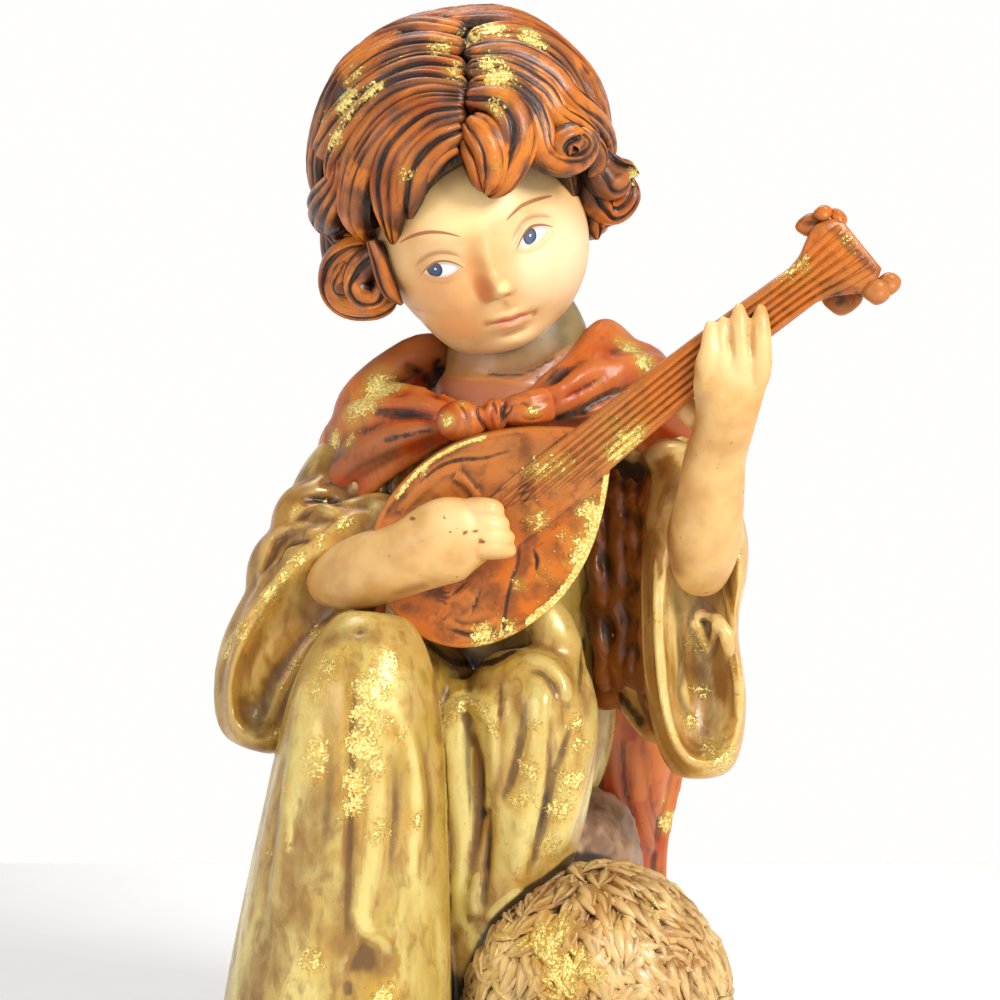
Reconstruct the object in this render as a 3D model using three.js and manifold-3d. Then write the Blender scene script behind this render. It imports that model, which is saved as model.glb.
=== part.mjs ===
// A cast and painted figurine: a seated shepherd child plays a lute, and a lamb lies beside the legs.
// Millimetres, +Z up, the child looks along -Y, and +X is the child's left hand side.
// The origin is the middle of the flat underside of the ground that the child and the lamb rest on.
import * as THREE from "three";
import { LoftGeometry } from "three/addons/geometries/LoftGeometry.js";
import { mergeVertices } from "three/addons/utils/BufferGeometryUtils.js";
import Module from "manifold-3d";

const wasm = await Module();
wasm.setup();

// Driving sizes
const groundHalf = [75, 65]; // half width and half depth of the ground
const groundHeight = 12;
const headOrigin = [-1, -2, 241.5]; // between the ears, at the height of the eyes
const headNod = 14; // degrees, chin towards the chest
const headLean = 18; // degrees, crown towards the child's right shoulder
const headTurn = 5; // degrees, towards the child's left
const faceHalf = [28, 32, 33]; // half width, half depth and half height of the face
const faceDrop = 3; // from the line of the eyes down to the middle of the face
const hairCentre = [4.5, 7, 19.5]; // in the head's own frame, as all sizes of the hair are
const curlMiddle = 1.5; // the curls hang round this x, a little to the right of the hair's own
const hairHalf = [38.5, 38, 38.5];
const luteFoot = [-20, -31, 138.5]; // where the lute's body ends
const luteAim = [0.77, -0.07, 0.64]; // along the strings, from the body to the pegs
const luteLength = 69; // of the body
const luteHalfWidth = 27;
const luteBowl = 17; // depth of the bowl behind the soundboard
const neckLength = 69; // from the body to where the head of the lute flares
const lambCentre = [32, -24, 39];
const lambHalf = [35, 30, 36.5];

const degrees = THREE.MathUtils.degToRad;
const vector = (p) => new THREE.Vector3(...p);

// The value at t, from 0 to 1, on a smooth curve through a list of numbers. A single number stays the same.
function along(list, t) {
  if (typeof list === "number") return list;
  const place = t * (list.length - 1);
  const i = Math.min(Math.floor(place), list.length - 2);
  const w = place - i;
  const b = list[i];
  const c = list[i + 1];
  const a = i > 0 ? list[i - 1] : 2 * b - c;
  const d = i + 2 < list.length ? list[i + 2] : 2 * c - b;
  return b + 0.5 * w * (c - a + w * (2 * a - 5 * b + 4 * c - d + w * (3 * (b - c) + d - a)));
}

const join = (solids) => solids.reduce((whole, next) => whole.add(next));

// Rings of points lofted into one closed solid. Each end closes in a fan round the middle of its ring.
function skin(rings) {
  const middle = (ring) => {
    const centre = ring.reduce((sum, p) => sum.add(p), new THREE.Vector3()).divideScalar(ring.length);
    return ring.map(() => centre);
  };
  const loft = new LoftGeometry([middle(rings[0]), ...rings, middle(rings.at(-1))]);
  const bare = new THREE.BufferGeometry().setIndex(loft.index);
  bare.setAttribute("position", loft.getAttribute("position"));
  const merged = mergeVertices(bare, 1e-3);
  const corners = [];
  for (let i = 0; i < merged.index.count; i += 3) {
    const [a, b, c] = merged.index.array.slice(i, i + 3);
    if (a !== b && b !== c && c !== a) corners.push(a, b, c);
  }
  const vertProperties = merged.attributes.position.array;
  const closed = (triVerts) => new wasm.Manifold(new wasm.Mesh({ numProp: 3, vertProperties, triVerts }));
  const made = closed(new Uint32Array(corners));
  return made.volume() > 0 ? made : closed(new Uint32Array(corners.reverse()));
}

// A rounded member: ellipses along a smooth spine, `across` towards `side` and `thick` the other way, with
// domed ends. `ripple` gives how far the surface stands out of the ellipse, from the turn round it, t along
// it and the number of the ring.
function limb({ spine, across, thick = across, side = [1, 0, 0], ...rest }) {
  const { sides = 8, steps = 5, blunt = 4, ripple, place } = rest;
  const path = new THREE.CatmullRomCurve3(spine.map(vector), false, "catmullrom");
  const endShare = 0.35; // how much of a step the flat tip takes
  const rings = [];
  for (let i = 0; i <= steps; i++) {
    const t = 0.5 - 0.5 * Math.cos((Math.PI * (i + endShare)) / (steps + 2 * endShare));
    const swell = (1 - Math.abs(2 * t - 1) ** blunt) ** (1 / blunt);
    const tangent = path.getTangent(t);
    const wide = vector(side).addScaledVector(tangent, -tangent.dot(vector(side))).normalize();
    const deep = new THREE.Vector3().crossVectors(tangent, wide);
    const centre = path.getPoint(t);
    const ring = [];
    for (let j = 0; j < sides; j++) {
      const turn = (2 * Math.PI * j) / sides;
      const out = ripple ? ripple(turn, t, i) : 0;
      const point = centre.clone();
      point.addScaledVector(wide, (along(across, t) + out) * swell * Math.cos(turn));
      point.addScaledVector(deep, (along(thick, t) + out) * swell * Math.sin(turn));
      ring.push(place ? point.applyMatrix4(place) : point);
    }
    rings.push(ring);
  }
  return skin(rings);
}

// An ellipsoid with its poles along `pole`, which is 0, 1 or 2 for X, Y or Z.
function egg({ centre, half, pole = 2, ...rest }) {
  const spine = [-1, 0, 1].map((s) => centre.map((c, i) => (i === pole ? c + s * half[i] : c)));
  const [wide, deep] = pole === 2 ? [0, 1] : pole === 1 ? [0, 2] : [1, 2];
  const side = [0, 0, 0];
  side[wide] = 1;
  return limb({ spine, across: half[wide], thick: half[deep], side, blunt: 2, ...rest });
}

// Soft ridges and furrows round a member, each [degrees round it at the start, at the end, width, height].
const pleated = (list) => (turn, t) =>
  list.reduce((sum, [from, to, width, height]) => {
    const ahead = turn / degrees(1) - from - (to - from) * t;
    const away = Math.abs(THREE.MathUtils.euclideanModulo(ahead + 180, 360) - 180);
    return sum + height * Math.exp(-((away / width) ** 2));
  }, 0);

// The ground, an uneven disc with a flat underside, and the rock that the child sits on.
function ground() {
  const rims = [[-0.1, 0.99], [0.25, 1], [1, 0.93]];
  const sides = 22;
  const rings = rims.map(([height, share]) =>
    Array.from({ length: sides }, (_, j) => {
      const turn = (2 * Math.PI * j) / sides;
      const reach = share * (1 + 0.02 * Math.sin(5 * turn + 1) + 0.02 * Math.cos(7 * turn));
      return vector([groundHalf[0] * reach * Math.cos(turn), groundHalf[1] * reach * Math.sin(turn),
        height * groundHeight]);
    }),
  );
  const rock = limb({ spine: [[4, 14, 2], [4, 14, 46], [6, 14, 92]], across: [52, 46, 36],
    thick: [40, 38, 30], sides: 12, steps: 3, blunt: 6 });
  return join([skin(rings), rock]);
}

// The robe: the trunk, the near leg with its high knee, the lap and the far leg with its hanging folds.
function robe() {
  const trunk = limb({ spine: [[4, 22, 78], [5, 20, 110], [7, 14, 150], [9, 12, 184], [10, 12, 206]],
    across: [34, 34, 30, 34, 16], thick: [26, 26, 21, 19, 12], sides: 12, steps: 5 });
  const nearThigh = limb({ spine: [[-10, 24, 102], [-20, -2, 116], [-26, -30, 122]], across: [22, 21, 17],
    thick: [22, 21, 18], steps: 3 });
  const nearShin = limb({
    spine: [[-26, -32, 143], [-28, -36, 122], [-31, -36, 88], [-35, -34, 46], [-38, -32, 9]],
    across: [12, 19, 24, 29, 33],
    thick: [12, 19, 22, 26, 28],
    sides: 24,
    steps: 5,
    blunt: 6,
    ripple: pleated([[83, 83, 9, -3], [66, 66, 14, 1.6], [110, 112, 18, 1.6], [40, 42, 10, -2.2],
      [152, 140, 12, -2], [14, 14, 12, 1.6], [228, 228, 12, -2]]),
  });
  const farThigh = limb({ spine: [[12, 22, 100], [14, 0, 110], [14.5, -24, 113]], across: [20, 18.5, 17.5],
    thick: [22, 20, 14], steps: 3 });
  const farSkirt = limb({
    spine: [[14, -19, 132], [14.8, -23, 112], [12.5, -21, 88], [5, -16, 58], [0, -12, 12]],
    across: [18, 17.8, 16.4, 15, 19],
    thick: [13, 16, 16, 16, 18],
    sides: 24,
    ripple: pleated([[165, 160, 11, 2.6], [140, 140, 9, -1.5], [120, 118, 9, 2.4], [105, 104, 8, -1.5],
      [90, 88, 9, 2.6], [74, 72, 8, -1.6], [58, 56, 12, 3.2], [38, 38, 9, -1.2], [20, 20, 12, 1.6]]),
  });
  const bellyFold = limb({ spine: [[12, -13, 150], [20, -19, 137], [26, -20, 124]], across: [5, 6.5, 5],
    sides: 6, steps: 3 });
  return join([trunk, nearThigh, nearShin, farThigh, farSkirt, bellyFold]);
}

// The bell sleeves hang open below the elbows: each is an outer form with a deep pocket cut from its front.
function sleeves() {
  const rightArm = limb({ spine: [[-16, 12, 188], [-32, 6, 172], [-41, 0, 150]], across: [15, 16, 15],
    thick: [14, 14, 14], side: [0.8, 0, 0.6], steps: 4 });
  const rightBell = limb({
    spine: [[-20, -12, 170], [-37, -12, 152], [-51, -15, 130], [-58.5, -18, 105]],
    across: [7, 15, 15, 12],
    thick: [8, 14, 15, 13],
    side: [0.75, 0, 0.65],
    sides: 12,
    steps: 4,
    ripple: pleated([[180, 180, 16, 1.5], [150, 150, 12, -1.2], [215, 215, 12, -1.2]]),
  });
  const rightPocket = limb({
    spine: [[-25, -32, 161], [-40, -30, 146], [-52, -32, 127], [-58, -34, 111]],
    across: [5, 11, 11.5, 8.5],
    thick: [10, 15, 17, 15],
    side: [0.75, 0, 0.65],
    sides: 9,
    steps: 4,
  });
  const elbowPuffs = [
    [[-35, -2, 171], [-46, -4, 168], [-51, -4, 158]],
    [[-42, -2, 162], [-53, -4, 155], [-57, -8, 142]],
  ].map((spine) => limb({ spine, across: [4, 6, 5], thick: 7, sides: 6, steps: 3 }));
  const leftArm = limb({ spine: [[36, 14, 194], [49, 8, 178], [55, 0, 156]], across: [15, 16, 14],
    thick: [15, 15, 14], side: [0.8, 0, -0.6], steps: 4 });
  const leftBell = limb({
    spine: [[53, -6, 184], [58, -10, 160], [58, -13, 132], [60, -14, 97]],
    across: [9, 14, 14, 13],
    thick: [10, 17, 19, 15],
    sides: 12,
    steps: 4,
  });
  const leftBack = limb({ spine: [[44, 12, 184], [45, 8, 150], [48, 4, 122], [52, 0, 104]],
    across: [10, 13, 12, 8], thick: [12, 15, 14, 10], sides: 7, steps: 4 });
  const leftPocket = limb({
    spine: [[60, -31, 172], [59.5, -32, 146], [60, -33, 124], [60, -33, 104]],
    across: [8, 10.5, 10, 9],
    thick: [12, 21, 22, 17],
    sides: 9,
    steps: 4,
  });
  const right = join([rightArm, rightBell, ...elbowPuffs]).subtract(rightPocket);
  return right.add(join([leftArm, leftBell, leftBack]).subtract(leftPocket));
}

// The cloak: over both shoulders, tied with a bow at the throat, and down the back to the ground.
function cloak() {
  const back = limb({
    spine: [[9, 16, 216], [8, 24, 194], [6, 32, 150], [7, 36, 106], [7, 37, 60], [8, 37, 6]],
    across: [18, 38, 48, 52, 45, 56],
    thick: [9, 15, 19, 20, 20, 23],
    sides: 22,
    steps: 6,
    blunt: 5,
    ripple: (turn, t) => (0.6 + 2.4 * t) * Math.cos(11 * turn) * (Math.sin(turn) < 0.3 ? 1 : 0.2),
  });
  const rightDrape = limb({
    spine: [[0, -22, 193], [-14, -14, 191], [-28, -2, 185], [-37, 12, 171], [-33, 28, 158]],
    across: [3.5, 9, 14, 19, 20],
    thick: [4, 6, 8, 8, 8],
    side: [0.3, 0, 1],
    sides: 12,
    ripple: (turn) => 1.2 * Math.cos(6 * turn),
  });
  const leftDrape = limb({
    spine: [[11, -22, 194], [27, -12, 198], [42, -2, 198], [52, 12, 188], [48, 28, 172]],
    across: [3.5, 10, 14, 18, 20],
    thick: [4, 7, 9, 9, 9],
    side: [-0.3, 0, 1],
    sides: 12,
    ripple: (turn) => 1.2 * Math.cos(6 * turn),
  });
  const collar = limb({ spine: [[8, 5, 194], [8, 4, 203], [8, 4, 211]], across: [22, 20, 15],
    thick: [24, 20, 15], sides: 12, steps: 3, blunt: 3 });
  const bow = [
    egg({ centre: [5.5, -25, 193.5], half: [4.4, 4, 4.2], sides: 6, steps: 3 }),
    limb({ spine: [[2, -24, 193], [-4, -26, 193], [-10, -23, 193]], across: [3, 5.6, 3.4], side: [0, 0, 1],
      sides: 6, steps: 4 }),
    limb({ spine: [[9, -24, 194], [15, -26, 194.5], [20, -22, 195]], across: [3, 4.8, 3.4], side: [0, 0, 1],
      sides: 6, steps: 4 }),
  ];
  const neck = limb({ spine: [[9, 4, 196], [7, 2, 210], [4, 2, 226]], across: [15, 14, 14], steps: 3 });
  return join([back, rightDrape, leftDrape, collar, neck, ...bow]);
}

const headPlace = new THREE.Matrix4().compose(
  vector(headOrigin),
  new THREE.Quaternion().setFromEuler(
    new THREE.Euler(degrees(headNod), degrees(-headLean), degrees(headTurn), "ZYX"),
  ),
  new THREE.Vector3(1, 1, 1),
);

// The face, in rings round the bridge of the nose, in the head's own frame. Each feature is a soft swelling,
// or a hollow: [x, z, half width, half height, lift].
function face() {
  const features = [
    [0, -7, 3.2, 4.2, 6], // nose
    [0, 1, 2.6, 6, 2], // bridge
    [0, -9.5, 5, 2, 1.4], // nostrils
    [0, -17, 4.6, 1.6, 1.8], // lips
    [0, -20, 3.8, 1.6, 1.8],
    [0, -26, 5.4, 3.6, 2.6], // chin
    [-14, -12, 8, 8, 1.8], // cheeks
    [14, -12, 8, 8, 1.8],
    [-12.5, 0.5, 6.5, 4, -2.4], // eye sockets
    [12.5, 0.5, 6.5, 4, -2.4],
  ];
  const rings = [];
  const ringCount = 11;
  const sides = 20;
  for (let i = 0; i <= ringCount; i++) {
    const polar = Math.PI * (0.02 + 0.96 * (i / ringCount) ** 1.35);
    const ring = [];
    for (let j = 0; j < sides; j++) {
      const turn = (2 * Math.PI * j) / sides;
      const x = faceHalf[0] * Math.sin(polar) * Math.cos(turn);
      const z = faceHalf[2] * Math.sin(polar) * Math.sin(turn) - faceDrop;
      const weight = Math.min(1, 3 * Math.max(0, Math.cos(polar)));
      const lift = features.reduce((sum, [cx, cz, rx, rz, high]) =>
        sum + high * Math.exp(-(((x - cx) / rx) ** 2) - ((z - cz) / rz) ** 2), 0);
      const depth = faceHalf[1] * (weight > 0 ? 1 : 0.8);
      ring.push(vector([x, -depth * Math.cos(polar) - lift * weight, z]).applyMatrix4(headPlace));
    }
    rings.push(ring);
  }
  return skin(rings);
}

// A point of the hair: `round` degrees from the front towards the child's left, `up` degrees above level.
function onHair(round, up, lift = 0) {
  const [a, b] = [degrees(round), degrees(up)];
  const way = [Math.sin(a) * Math.cos(b), -Math.cos(a) * Math.cos(b), Math.sin(b)];
  return way.map((w, i) => hairCentre[i] + w * (hairHalf[i] + lift));
}

// The hair: locks combed down both sides of a parting, curls round the lower edge, and a curled brow.
function hair() {
  const cap = egg({
    centre: hairCentre,
    half: hairHalf,
    pole: 1,
    sides: 18,
    steps: 11,
    place: headPlace,
    ripple: (turn, t, row) => {
      const parting = Math.exp(-(((turn - Math.PI / 2) / 0.16) ** 2));
      return 1.6 * (row % 2 ? 1 : -1) * (1 - parting) - 2.5 * parting;
    },
  });
  const window = egg({ centre: [0, -40, -12], half: [27, 38, 36], sides: 14, steps: 6, place: headPlace });
  const nape = egg({ centre: [0, -12, -42], half: [60, 60, 28], sides: 10, steps: 5, place: headPlace });
  const locks = [];
  const lock = (spine, across, thick, { sides = 6, steps = 4 } = {}) =>
    locks.push(limb({ spine, across, thick, side: [0, 0, 1], sides, steps, place: headPlace }));
  // a point `out` from the lower edge of the hair, which drops towards the nape
  const edge = (round, z, out) => {
    const turn = degrees(round);
    const reach = [34 + out, 31 + out - 4 * Math.max(0, -Math.cos(turn))];
    const drop = 10 * Math.max(0, -Math.cos(turn));
    return [curlMiddle + reach[0] * Math.sin(turn), hairCentre[1] - reach[1] * Math.cos(turn), z - drop];
  };
  // curls round the lower edge, each hooked outwards at its tip
  for (const way of [-1, 1]) {
    for (let k = 0; k < 5; k++) {
      const round = way * (64 + 25 * k);
      const top = [edge(round - way * 6, 22, 0), edge(round - way * 9, 4, 4)];
      const tip = [edge(round, -8, 4), edge(round + way * 9, -2, 8)];
      lock([...top, ...tip], [5, 7.8, 7.6, 5], [5, 7.8, 7.6, 5], { sides: 5, steps: 5 });
    }
  }
  // over the brow: a thick lock curls in the middle, the next turns outwards, and others fall to the right
  lock([onHair(9, 36, 0), onHair(23, 31, 4), onHair(27, 15, 5), onHair(15, 1, 5), onHair(4, -6, 4)],
    [4, 7, 7, 5.6, 3.6], [3, 5, 5.4, 5, 3.6]);
  lock([onHair(14, 50, 0), onHair(38, 38, 4), onHair(54, 15, 5), onHair(55, -5, 6), onHair(44, -7, 7)],
    [5, 7.4, 7, 5.4, 4], [3, 5, 5, 5, 4]);
  lock([onHair(10, 28, 0), onHair(3, 21, 2.5), onHair(-6, 8, 3), onHair(-13, -6, 2)],
    [3, 5.5, 5, 2.6], [2, 4, 4, 3]);
  lock([onHair(4, 46, 0), onHair(-9, 30, 3), onHair(-21, 10, 3.5), onHair(-33, -15, 2)],
    [4, 7, 6, 3], [3, 4, 4, 3]);
  lock([onHair(-2, 64, 0), onHair(-28, 44, 3), onHair(-42, 14, 3), onHair(-48, -18, 3)],
    [5, 8, 7, 4.5], [3, 4, 4, 4]);
  return join([cap.subtract(window.add(nape)), ...locks]);
}

// The lute: a pear shaped bowl, a neck with strings, a flared head and round pegs. Its own frame has X along
// the strings, Y into the bowl and Z across the soundboard.
function lute() {
  const aim = vector(luteAim).normalize();
  const inward = new THREE.Vector3(0, 1, 0).addScaledVector(aim, -aim.y).normalize();
  const across = new THREE.Vector3().crossVectors(aim, inward);
  const place = new THREE.Matrix4().makeBasis(aim, inward, across).setPosition(vector(luteFoot));
  const at = (x, y, z) => new THREE.Vector3(x, y, z).applyMatrix4(place);
  const widest = 0.46 * luteLength;
  const halfWidth = (x) => {
    if (x < widest) return luteHalfWidth * (1 - (1 - x / widest) ** 2.3) ** (1 / 2.3);
    return 7 + (luteHalfWidth - 7) * (1 - ((x - widest) / (luteLength - widest)) ** 2.2);
  };
  const spots = 10;
  const outline = (grow, y) =>
    [1, -1].flatMap((flank) =>
      Array.from({ length: spots }, (_, i) => {
        const t = (flank > 0 ? i + 0.25 : spots - i - 0.75) / (spots - 0.5);
        const x = luteLength * (0.5 - 0.5 * Math.cos(Math.PI * t));
        return at(widest + (x - widest) * grow, y, -flank * halfWidth(x) * grow);
      }),
    );
  const depths = [[0.96, -1], [1, 0.4], [1, 3], [0.9, 9], [0.68, 14], [0.35, luteBowl]];
  const bowl = skin(depths.map(([grow, y]) => outline(grow, y)));
  const bar = (x0, x1, w0, w1, front, back) =>
    skin([[x0, w0], [x1, w1]].map(([x, w]) =>
      [at(x, front, w), at(x, front, -w), at(x, back, -w), at(x, back, w)]));
  const nut = luteLength + neckLength;
  const neck = bar(luteLength - 14, nut + 3, 7, 5.4, -2.6, 5);
  const head = bar(nut, nut + 17, 5.6, 12, -3, 4);
  const strings = [-4.4, -2.2, 0, 2.2, 4.4].map((z) => {
    const course = [[30, -0.4, z], [luteLength, -2, z], [nut, -2.2, z * 0.9], [nut + 15, -2.4, z * 2]];
    return skin(course.map(([x, y, w]) => [at(x, y, w - 0.6), at(x, y, w + 0.6), at(x, y - 1.4, w)]));
  });
  const pegSpots = [[11, 1, 12, 3.8], [16.5, 0, 12, 3.4], [11, 1, -12.5, 4.4], [16.5, 0, -12, 3.8],
    [6, 7, -7, 5.6]];
  const pegs = pegSpots.map(([x, y, z, r]) =>
    egg({ centre: at(nut + x, y, z).toArray(), half: [r, r, r], sides: 6, steps: 2 }));
  return join([bowl, neck, head, ...strings, ...pegs]);
}

// Bare forearms and hands. The right one plucks over the soundboard and the left one presses the strings.
function arms() {
  const rightForearm = limb({ spine: [[-42, -16, 148], [-29, -26, 153], [-17, -34, 157.5], [-6, -38, 162]],
    across: [8, 9.8, 9.2, 8.6], thick: [7, 9, 8, 6], side: [-0.3, 0, 1], steps: 4 });
  const rightHand = limb({ spine: [[-14, -36, 160], [-2, -39, 163.5], [8, -39, 164.5]],
    across: [8.5, 10.6, 8.2], thick: [6, 6.5, 5], side: [-0.1, 0, 1], steps: 3 });
  const finger = { side: [0, 0, 1], sides: 5, steps: 3 };
  const rightFingers = [0, 1, 2, 3].map((k) =>
    limb({ spine: [[-1, -42, 172 - 3.6 * k], [8, -43, 171 - 3.5 * k], [11, -37, 169.6 - 3.4 * k]],
      across: [2, 2.3, 1.9], ...finger }));
  const rightThumb = limb({ spine: [[-5, -40, 156], [3, -43, 156.5], [9, -41, 159]], across: [3, 3.2, 2.4],
    ...finger });
  const leftForearm = limb({ spine: [[59, -18, 147], [59, -24, 160], [61, -29, 176], [63.5, -33, 192]],
    across: [9, 10.6, 9, 8.4], thick: [8, 9, 7.5, 5.8], steps: 4 });
  const leftPalm = limb({ spine: [[62.5, -32, 182], [64.5, -36, 196], [66, -38, 209]],
    across: [8, 10, 10.4],
    thick: [5.5, 6.2, 4.6], steps: 3 });
  const leftFingers = [[57.6, 217.6], [62.4, 218.6], [68, 221.6], [73.2, 220.8]].map(([x, z]) =>
    limb({ spine: [[x + 0.6, -38, 204], [x + 0.4, -42, 211], [x, -38, z]], across: [2.7, 2.8, 2.3],
      ...finger,
      side: [1, 0, 0] }));
  const leftThumb = limb({ spine: [[61, -35, 190], [55.5, -37, 197], [56, -36, 205]], across: [3, 3.8, 2.8],
    ...finger, side: [1, 0, 0] });
  const right = [rightForearm, rightHand, ...rightFingers, rightThumb];
  return join([...right, leftForearm, leftPalm, ...leftFingers, leftThumb]);
}

// The right foot is bare and shows under the hem.
function foot() {
  return limb({ spine: [[-34, -46, 16], [-35, -55, 15], [-36, -63, 14]], across: [5, 7.5, 7.4],
    thick: [6, 5, 3.4], steps: 4, blunt: 3 });
}

// The lamb lies with its head low in front, in a fleece of pointed tufts.
function lamb() {
  const [x, y] = lambCentre;
  const sides = 24;
  // rows of tufts: each row stands out at its tips, and the tips of one row lie between those of the next
  const tuft = (turn, row) => (Math.cos((sides / 2) * turn + (Math.PI / 2) * row) > 0 ? 2.6 : -0.4);
  const body = egg({
    centre: lambCentre,
    half: lambHalf,
    sides,
    steps: 11,
    ripple: (turn, t, row) => (row % 2 ? -1.2 : tuft(turn, row)),
  });
  const muzzle = limb({ spine: [[x - 14, y - 18, 34], [x - 18, y - 30, 28], [x - 20, y - 39, 19]],
    across: [12, 9, 5.4], thick: [12, 9.4, 5.6], steps: 4 });
  const ears = [-1, 1].map((s) =>
    limb({
      spine: [[x - 15 + 8 * s, y - 24, 34], [x - 15 + 15 * s, y - 27, 31], [x - 14 + 19 * s, y - 29, 25]],
      across: [2.5, 4, 2.4], thick: [2, 2.4, 1.8], side: [0, 0, 1], sides: 5, steps: 3,
    }));
  const hooves = [-1, 1].map((s) =>
    limb({
      spine: [[x - 8 + 12 * s, y - 20, 16], [x - 12 + 10 * s, y - 32, 14], [x - 18 + 9 * s, y - 39, 13]],
      across: [5, 4.6, 3.6], sides: 6, steps: 3,
    }));
  return join([body, muzzle, ...ears, ...hooves]);
}

// Everything is one casting, so all forms are joined and the closed hollows between them are filled.
function figurine() {
  const child = [robe(), sleeves(), cloak(), face(), hair(), arms(), foot()];
  const whole = join([ground(), ...child, lute(), lamb()]);
  const corners = [[200, 200], [-200, 200], [-200, -200], [200, -200]];
  const below = [-200, 0].map((z) => corners.map(([x, y]) => vector([x, y, z])));
  const bodies = whole.subtract(skin(below)).decompose();
  return bodies.reduce((largest, body) => (body.volume() > largest.volume() ? body : largest));
}

function meshOf(made, name, material) {
  const { vertProperties, triVerts } = made.getMesh();
  const geometry = new THREE.BufferGeometry();
  geometry.setAttribute("position", new THREE.BufferAttribute(new Float32Array(vertProperties), 3));
  geometry.setIndex(new THREE.BufferAttribute(triVerts, 1));
  geometry.computeVertexNormals();
  const mesh = new THREE.Mesh(geometry, material);
  mesh.name = name;
  return mesh;
}

const paintedCasting = new THREE.MeshStandardMaterial({ color: 0xa98a4a, roughness: 0.38, metalness: 0.1 });

const shepherd = new THREE.Group();
shepherd.add(meshOf(figurine(), "figurine", paintedCasting));

export default shepherd;
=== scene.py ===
import math

import bpy
import numpy as np
from mathutils import Matrix, Vector
from mathutils.bvhtree import BVHTree


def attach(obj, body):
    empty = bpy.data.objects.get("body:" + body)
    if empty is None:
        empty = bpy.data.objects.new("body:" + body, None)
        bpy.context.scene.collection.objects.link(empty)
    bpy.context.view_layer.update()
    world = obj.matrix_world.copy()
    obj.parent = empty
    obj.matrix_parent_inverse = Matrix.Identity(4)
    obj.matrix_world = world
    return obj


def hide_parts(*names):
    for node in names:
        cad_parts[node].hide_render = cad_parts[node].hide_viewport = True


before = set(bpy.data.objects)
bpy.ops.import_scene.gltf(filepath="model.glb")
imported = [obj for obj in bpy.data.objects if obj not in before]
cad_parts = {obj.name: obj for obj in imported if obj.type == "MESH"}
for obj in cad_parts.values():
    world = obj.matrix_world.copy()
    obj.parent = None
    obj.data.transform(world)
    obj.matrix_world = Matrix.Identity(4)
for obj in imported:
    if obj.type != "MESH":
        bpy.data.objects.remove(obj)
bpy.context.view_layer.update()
print("frame loaded")

# forms are made in millimetres: +X the child's left hand side, -Y the way the child looks, +Z up
mm = 0.001

cameraSet = {
    "target": (6.6, -12.0, 170.4),
    "elevation": 5.0,
    "distance": 850.0,
    "frameWidth": 263.0,  # what the picture takes in across the target
    "pictureSide": 1000,  # folds, locks and stains are drawn in steps of the picture's side over this
    "sensor": 36,
    "nearest": 0.05,
}
tilt = math.radians(cameraSet["elevation"])
viewAim = np.array([0, math.cos(tilt), -math.sin(tilt)])
viewUp = np.array([0, math.sin(tilt), math.cos(tilt)])
eyePoint = np.array(cameraSet["target"]) - cameraSet["distance"] * viewAim


def rayThrough(px, py):
    # direction from the camera through a spot of the picture
    step = cameraSet["frameWidth"] / cameraSet["pictureSide"]
    middle = cameraSet["pictureSide"] / 2
    way = viewAim * cameraSet["distance"] + viewUp * (middle - py) * step
    way[0] += (px - middle) * step
    return way / np.linalg.norm(way)


def makeCamera():
    lens = bpy.data.cameras.new("camera")
    lens.sensor_width = cameraSet["sensor"]
    lens.lens = cameraSet["sensor"] * cameraSet["distance"] / cameraSet["frameWidth"]
    lens.clip_start = cameraSet["nearest"]
    eye = bpy.data.objects.new("camera", lens)
    eye.location = Vector(eyePoint * mm)
    eye.rotation_euler = (math.radians(90 - cameraSet["elevation"]), 0, 0)
    bpy.context.scene.collection.objects.link(eye)
    bpy.context.scene.camera = eye


def curveAt(points, t):
    # the value at t, from 0 to 1, on a smooth curve through numbers or points
    p = np.asarray(points, float)
    t = np.asarray(t, float)
    if p.ndim == 0:
        return np.full(t.shape, float(p))
    last = len(p) - 1
    place = np.clip(t, 0, 1) * last
    i = np.minimum(place.astype(int), last - 1)
    w = place - i
    p = np.concatenate([2 * p[:1] - p[1:2], p, 2 * p[-1:] - p[-2:-1]])
    a, b, c, d = p[i], p[i + 1], p[i + 2], p[i + 3]
    if p.ndim == 2:
        w = w[..., None]
    return b + 0.5 * w * (c - a + w * (2 * a - 5 * b + 4 * c - d + w * (3 * (b - c) + d - a)))


def unit(v):
    return v / np.maximum(np.linalg.norm(v, axis=-1, keepdims=True), 1e-9)


def closeRings(rings):
    # rings (n, m, 3) to one closed shell with a point at each end, faces outward
    n, m, _ = rings.shape
    verts = np.concatenate([rings.reshape(-1, 3), rings[0].mean(0)[None], rings[-1].mean(0)[None]])
    j = np.arange(m)
    k = (j + 1) % m
    faces = []
    for i in range(n - 1):
        faces += np.stack([i * m + j, i * m + k, (i + 1) * m + k, (i + 1) * m + j], 1).tolist()
    faces += np.stack([np.full(m, n * m), k, j], 1).tolist()
    faces += np.stack([np.full(m, n * m + 1), (n - 1) * m + j, (n - 1) * m + k], 1).tolist()
    if volumeOf(verts, faces) < 0:
        faces = [f[::-1] for f in faces]
    return verts, faces


def volumeOf(verts, faces):
    total = 0.0
    for size in (3, 4):
        f = np.array([q for q in faces if len(q) == size])
        for a, b, c in ((0, 1, 2), (0, 2, 3))[: size - 2] if len(f) else ():
            across = np.cross(verts[f[:, b]], verts[f[:, c]])
            total += np.einsum("ij,ij->i", verts[f[:, a]], across).sum() / 6
    return total


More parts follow.
